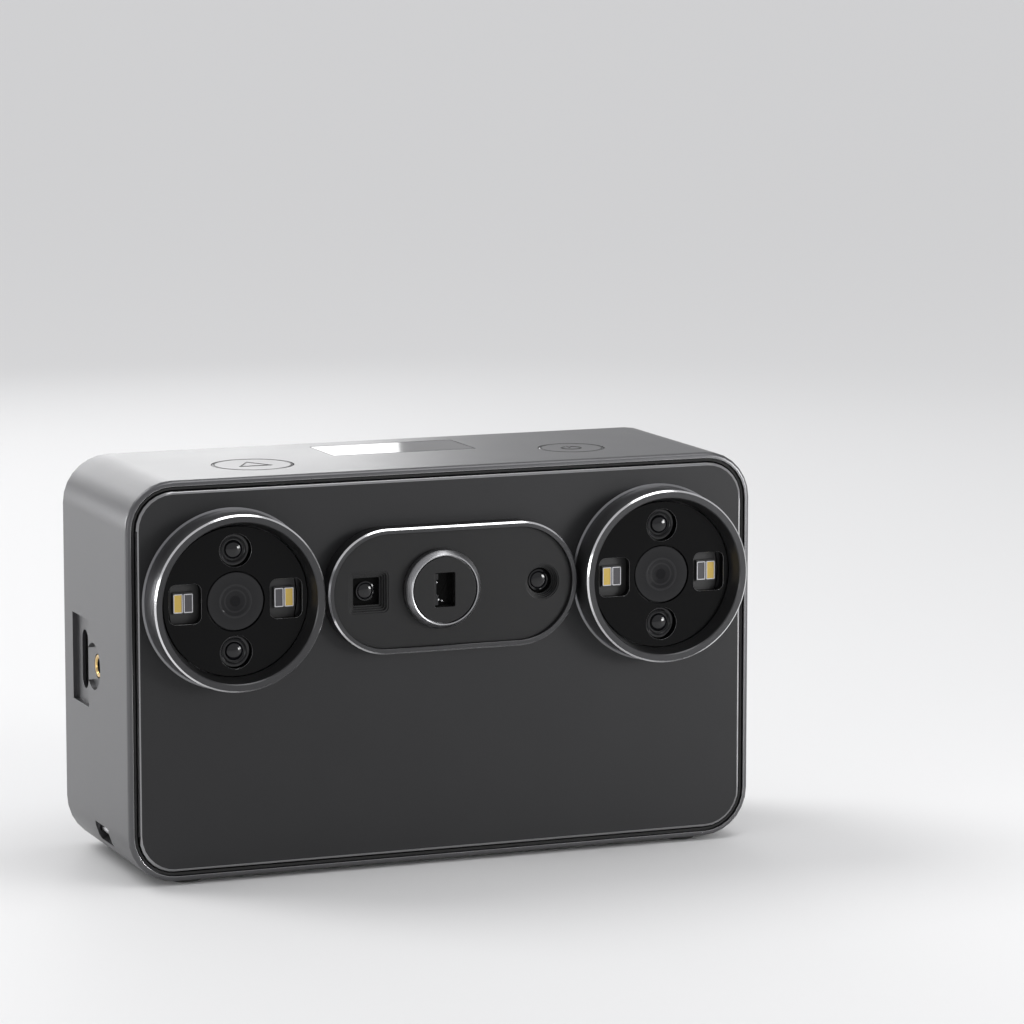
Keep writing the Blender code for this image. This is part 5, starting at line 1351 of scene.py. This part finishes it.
# End with the switch and the battery door
class SCANNER_OT_switch_end(bpy.types.Operator):
    """Switch panel with its slider, and the dot and bar beside it"""

    bl_idname = "scanner.switch_end"
    bl_label = "Switch panel"

    rib_pitch = 0.75 * MM
    mark_offset = 7.2 * MM

    def execute(self, context):
        fine = look().fine_edge
        rise = look().ink_rise
        stands_for(traced("switch_panel", "switch_plate", fine), "switch_panel", FINISHES["frame"])
        slider = traced("mode_slider", "mode_knob", fine)
        stands_for(slider, "mode_slider", FINISHES["bezel"], "mode_slider")
        high = span("right", "mode_slider")[1]
        for index in range(3):
            rib = slab("knob_rib_" + str(index), 8.2 * MM, 0.3 * MM, 0.1 * MM,
                       high, high + 0.12 * MM, 2)
            shift(rib, 0, (index - 1) * self.rib_pitch)
            rides(set_on(rib, "right", middle("mode_slider")), FINISHES["bezel"], "mode_slider")
        dot = drum("switch_dot", 0.7 * MM, SHALLOW_ROOT, rise, 32)
        bar = slab("switch_bar", 3.0 * MM, 0.6 * MM, 0.2 * MM, SHALLOW_ROOT, rise, 4)
        for mark, way in ((dot, 1), (bar, -1)):
            shift(mark, 0, way * self.mark_offset)
            rides(set_on(mark, "right", middle("switch_panel")), FINISHES["pale_ink"])
        dress("mode_switch", FINISHES["black_plastic"])
        dress("microphone", FINISHES["steel"])
        return {"FINISHED"}


class SCANNER_OT_battery_door(bpy.types.Operator):
    """Battery door with its latch, pin, bay and battery"""

    bl_idname = "scanner.battery_door"
    bl_label = "Battery door"

    thumb_piece = 0.9 * MM

    def execute(self, context):
        fine = look().fine_edge
        door = traced("battery_door", "door_plate", fine)
        stands_for(door, "battery_door", FINISHES["frame"], "battery_door")
        latch = traced("battery_latch", "latch_slide", fine)
        stands_for(latch, "battery_latch", FINISHES["black_plastic"], "battery_latch")
        high = span("right", "battery_latch")[1]
        paint_band(latch, FINISHES["frame"], lambda face: (
            level_of(face, "right") > high - self.thumb_piece))
        soften(latch, 0)
        dress("door_hinge_pin", FINISHES["steel"])
        dress("battery_bay", FINISHES["black_plastic"])
        dress("battery_pack", FINISHES["cells"])
        return {"FINISHED"}


# Cable end
class SCANNER_OT_cable_end(bpy.types.Operator):
    """Cable socket with its tongue, the brass insert and the lanyard bar"""

    bl_idname = "scanner.cable_end"
    bl_label = "Cable end"

    grooves, groove_pitch = 5, 0.8 * MM
    contacts, contact_pitch = 8, 1.25 * MM

    def execute(self, context):
        dress("cable_socket", FINISHES["black_plastic"])
        self.make_insert()
        self.make_tongue()
        dress("lanyard_bar", FINISHES["steel"])
        return {"FINISHED"}

    def make_insert(self):
        """A turned insert, with ring grooves for its thread, and painted shade darkening its bore."""
        node = "locking_insert"
        low, high = span("left", node)
        centre = middle(node)
        outer = 3.2 * MM
        profile = [
            (outer, low), (outer, high - 0.12 * MM), (3.05 * MM, high), (2.5 * MM, high),
            (2.1 * MM, high - 0.4 * MM), (1.7 * MM, high - 0.45 * MM)]
        for turn in range(self.grooves):
            start = high - 0.6 * MM - turn * self.groove_pitch
            profile += [(1.85 * MM, start), (1.55 * MM, start - 0.35 * MM)]
        profile.append((1.6 * MM, low))
        insert = soften(turned("brass_thread", profile, 64, ring=True), 0)
        metal = turned_metal("insert_brass", (0.72, 0.5, 0.2), centre, (1, 2), 0.24, 0.2)
        stands_for(set_on(insert, "left", centre), node, metal)
        # Painted shade: the threads deep in the bore turn near-black
        paint_band(insert, FINISHES["painted_shade_well"], lambda face: (
            level_of(face, "left") < high - 0.42 * MM and off_axis(face, centre, "left") < 2.05 * MM))
        soften(insert, 0)

    def make_tongue(self):
        """The tongue in the socket, with its row of contacts."""
        place = middle("cable_socket")
        mouth = span("left", "cable_socket")[1]
        tongue = slab("socket_tongue", 1.2 * MM, 11.0 * MM, 0.3 * MM,
                      mouth - 7.4 * MM, mouth - 2.4 * MM, 4)
        rides(set_on(soften(tongue, 0.15 * MM), "left", place), FINISHES["black_plastic"])
        for index in range(self.contacts):
            contact = slab("socket_contact_" + str(index), 0.15 * MM, 0.6 * MM, 0,
                           mouth - 6.8 * MM, mouth - 3.0 * MM)
            shift(contact, 0.62 * MM, (index - (self.contacts - 1) / 2) * self.contact_pitch)
            rides(set_on(contact, "left", place), FINISHES["brass"])


# Underside
class SCANNER_OT_underside(bpy.types.Operator):
    """Rubber feet with a shallow dish, and the grooved tripod bush"""

    bl_idname = "scanner.underside"
    bl_label = "Underside"

    feet = ("front_left_foot", "back_left_foot", "front_right_foot", "back_right_foot")
    thread_turns, thread_pitch = 6, 1.27 * MM

    def execute(self, context):
        for node in self.feet:
            self.make_foot(node)
        self.make_bush()
        return {"FINISHED"}

    def make_foot(self, node):
        low, high = span("bottom", node)
        radius = extent(node).x / 2
        profile = [
            (radius, low), (radius, high - 0.3 * MM), (radius - 0.1 * MM, high - 0.1 * MM),
            (radius - 0.35 * MM, high), (radius * 0.62, high), (radius * 0.5, high - 0.2 * MM),
            (radius * 0.1, high - 0.25 * MM)]
        foot = soften(set_on(turned(node + "_pad", profile, 64), "bottom", middle(node)), 0)
        stands_for(foot, node, FINISHES["foot"])

    def make_bush(self):
        node = "tripod_bush"
        low, high = span("bottom", node)
        outer = extent(node).x / 2
        bore = 2.7 * MM
        pitch = self.thread_pitch
        profile = [
            (outer, low), (outer, high - 0.2 * MM), (outer - 0.2 * MM, high),
            (bore + 0.7 * MM, high), (bore + 0.2 * MM, high - 0.5 * MM)]
        for turn in range(self.thread_turns):
            start = high - 0.6 * MM - turn * pitch
            profile += [(bore + 0.35 * MM, start - pitch * 0.25), (bore, start - pitch * 0.75)]
        profile.append((bore, low))
        bush = soften(turned("tripod_thread", profile, 64, ring=True), 0)
        stands_for(set_on(bush, "bottom", middle(node)), node, FINISHES["brass"])


# Pieces that stay inside
class SCANNER_OT_inner_parts(bpy.types.Operator):
    """Finishes of the chassis, boards, camera bodies and screws inside"""

    bl_idname = "scanner.inner_parts"
    bl_label = "Inner parts"

    finishes = {
        "milled": ("chassis_plate", "heat_sink", "left_camera_body", "right_camera_body",
                   "projector_body"),
        "board": ("main_board", "button_board"),
        "black_plastic": ("left_lamp_board", "right_lamp_board"),
        "steel": ("upper_left_screw", "lower_left_screw", "upper_right_screw", "lower_right_screw"),
    }

    def execute(self, context):
        for finish, nodes in self.finishes.items():
            for node in nodes:
                dress(node, FINISHES[finish])
        return {"FINISHED"}


# Stage
# Each light: its name, place and target, its width and height, and its share of the fill power
LIGHTS = (
    ("back_light", (0.05, 1.25, 0.38), (-0.06, 0, 0.11), (0.8, 0.4), 0.42),
    ("rear_light", (-0.98, 1.15, 0.2), (-0.1, 0, 0.06), (0.35, 0.3), 0.65),
    ("top_light", (0.3, -0.25, 1.4), (0, 0, 0.08), (1.0, 0.5), 0.8),
    ("side_light", (-1.25, -0.5, 0.22), (-0.09, 0, 0.07), (0.3, 0.35), 0.22),
    ("skirt_light", (-1.1, 0.75, 0.22), (-0.09, -0.03, 0.08), (0.3, 0.35), 0.2),
    ("front_light", (0.98, -1.15, 0.2), (0.1, 0, 0.06), (0.35, 0.3), 0.8),
    ("near_light", (0.42, -0.34, 0.16), (0.09, -0.03, 0.06), (0.12, 0.16), 0.1),
)


def area_light(name, place, target, size, power):
    light = add(bpy.ops.object.light_add, name, type="AREA", location=place)
    light.data.shape = "RECTANGLE"
    light.data.size, light.data.size_y = size
    light.data.energy = power
    light.data.spread = math.radians(110)
    light.visible_camera = False
    light.rotation_euler = (Vector(target) - Vector(place)).to_track_quat("-Z", "Y").to_euler()


class SCANNER_OT_stage(bpy.types.Operator):
    """Pale floor, soft lights, pale surroundings and the camera at the photograph's angle"""

    bl_idname = "scanner.stage"
    bl_label = "Stage"

    floor_width = 60
    sun_turn = (math.radians(-28), math.radians(-30), 0)
    sky_colour = (0.9, 0.9, 0.92, 1.0)
    camera_place = (-449.59 * MM, -1212.5 * MM, 286.5 * MM)
    camera_turn = (math.radians(81.596), 0, math.radians(-21.597))

    def execute(self, context):
        settings = context.scene.scanner_stage
        self.make_floor(settings)
        self.make_world(context.scene, settings)
        self.make_sun(settings)
        for name, place, target, size, share in LIGHTS:
            area_light(name, place, target, size, settings.fill_power * share)
        self.make_camera(context.scene, settings)
        context.scene.view_settings.view_transform = "Standard"
        return {"FINISHED"}

    def make_floor(self, settings):
        floor = add(bpy.ops.mesh.primitive_plane_add, "pale_floor",
                    size=self.floor_width, location=(0, 0, 0))
        finish = Finish("pale_floor_paint", tuple(settings.floor_tone), 0.6)
        finish.set("Specular IOR Level", 0.2)
        floor.data.materials.append(finish.material)

    def make_world(self, scene, settings):
        world = bpy.data.worlds.new("soft_surroundings")
        world.use_nodes = True
        scene.world = world
        background = world.node_tree.nodes["Background"]
        background.inputs["Color"].default_value = self.sky_colour
        background.inputs["Strength"].default_value = settings.surroundings

    def make_sun(self, settings):
        sun = add(bpy.ops.object.light_add, "soft_sun",
                  type="SUN", location=(-1, 1, 2), rotation=self.sun_turn)
        sun.data.energy = settings.key_power
        sun.data.angle = math.radians(30)

    def make_camera(self, scene, settings):
        camera = add(bpy.ops.object.camera_add, "front_camera",
                     location=self.camera_place, rotation=self.camera_turn)
        camera.data.lens = settings.lens
        camera.data.sensor_width = 36.0
        camera.data.clip_end = 20.0
        scene.camera = camera


PIECES = (
    SCANNER_OT_housing,
    SCANNER_OT_bezels,
    SCANNER_OT_module_plates,
    SCANNER_OT_camera_windows,
    SCANNER_OT_lamps,
    SCANNER_OT_flashes,
    SCANNER_OT_centre_bezel,
    SCANNER_OT_centre_window,
    SCANNER_OT_projector,
    SCANNER_OT_small_cameras,
    SCANNER_OT_buttons,
    SCANNER_OT_top_panel,
    SCANNER_OT_screen,
    SCANNER_OT_screen_marks,
    SCANNER_OT_switch_end,
    SCANNER_OT_battery_door,
    SCANNER_OT_cable_end,
    SCANNER_OT_underside,
    SCANNER_OT_inner_parts,
    SCANNER_OT_stage,
)
SETTINGS = (
    ("scanner_look", ScannerLook),
    ("scanner_module", ModuleSizes),
    ("scanner_screen", ScreenSizes),
    ("scanner_stage", StageSettings),
)


class SCANNER_PT_pieces(bpy.types.Panel):
    """Lists the pieces of the scanner"""

    bl_idname = "SCANNER_PT_pieces"
    bl_label = "Scanner"
    bl_space_type = "VIEW_3D"
    bl_region_type = "UI"
    bl_category = "Scanner"

    def draw(self, context):
        for name, group in SETTINGS:
            box = self.layout.box()
            settings = getattr(context.scene, name)
            for setting in group.__annotations__:
                box.prop(settings, setting)
        for piece in PIECES:
            self.layout.operator(piece.bl_idname)


def register():
    for name, group in SETTINGS:
        bpy.utils.register_class(group)
        setattr(bpy.types.Scene, name, bpy.props.PointerProperty(type=group))
    for piece in PIECES:
        bpy.utils.register_class(piece)
    bpy.utils.register_class(SCANNER_PT_pieces)


def unregister():
    bpy.utils.unregister_class(SCANNER_PT_pieces)
    for piece in reversed(PIECES):
        bpy.utils.unregister_class(piece)
    for name, group in reversed(SETTINGS):
        delattr(bpy.types.Scene, name)
        bpy.utils.unregister_class(group)


def main():
    register()
    mix_finishes(look())
    for piece in PIECES:
        group, name = piece.bl_idname.split(".")
        getattr(getattr(bpy.ops, group), name)()


if __name__ == "__main__":
    main()
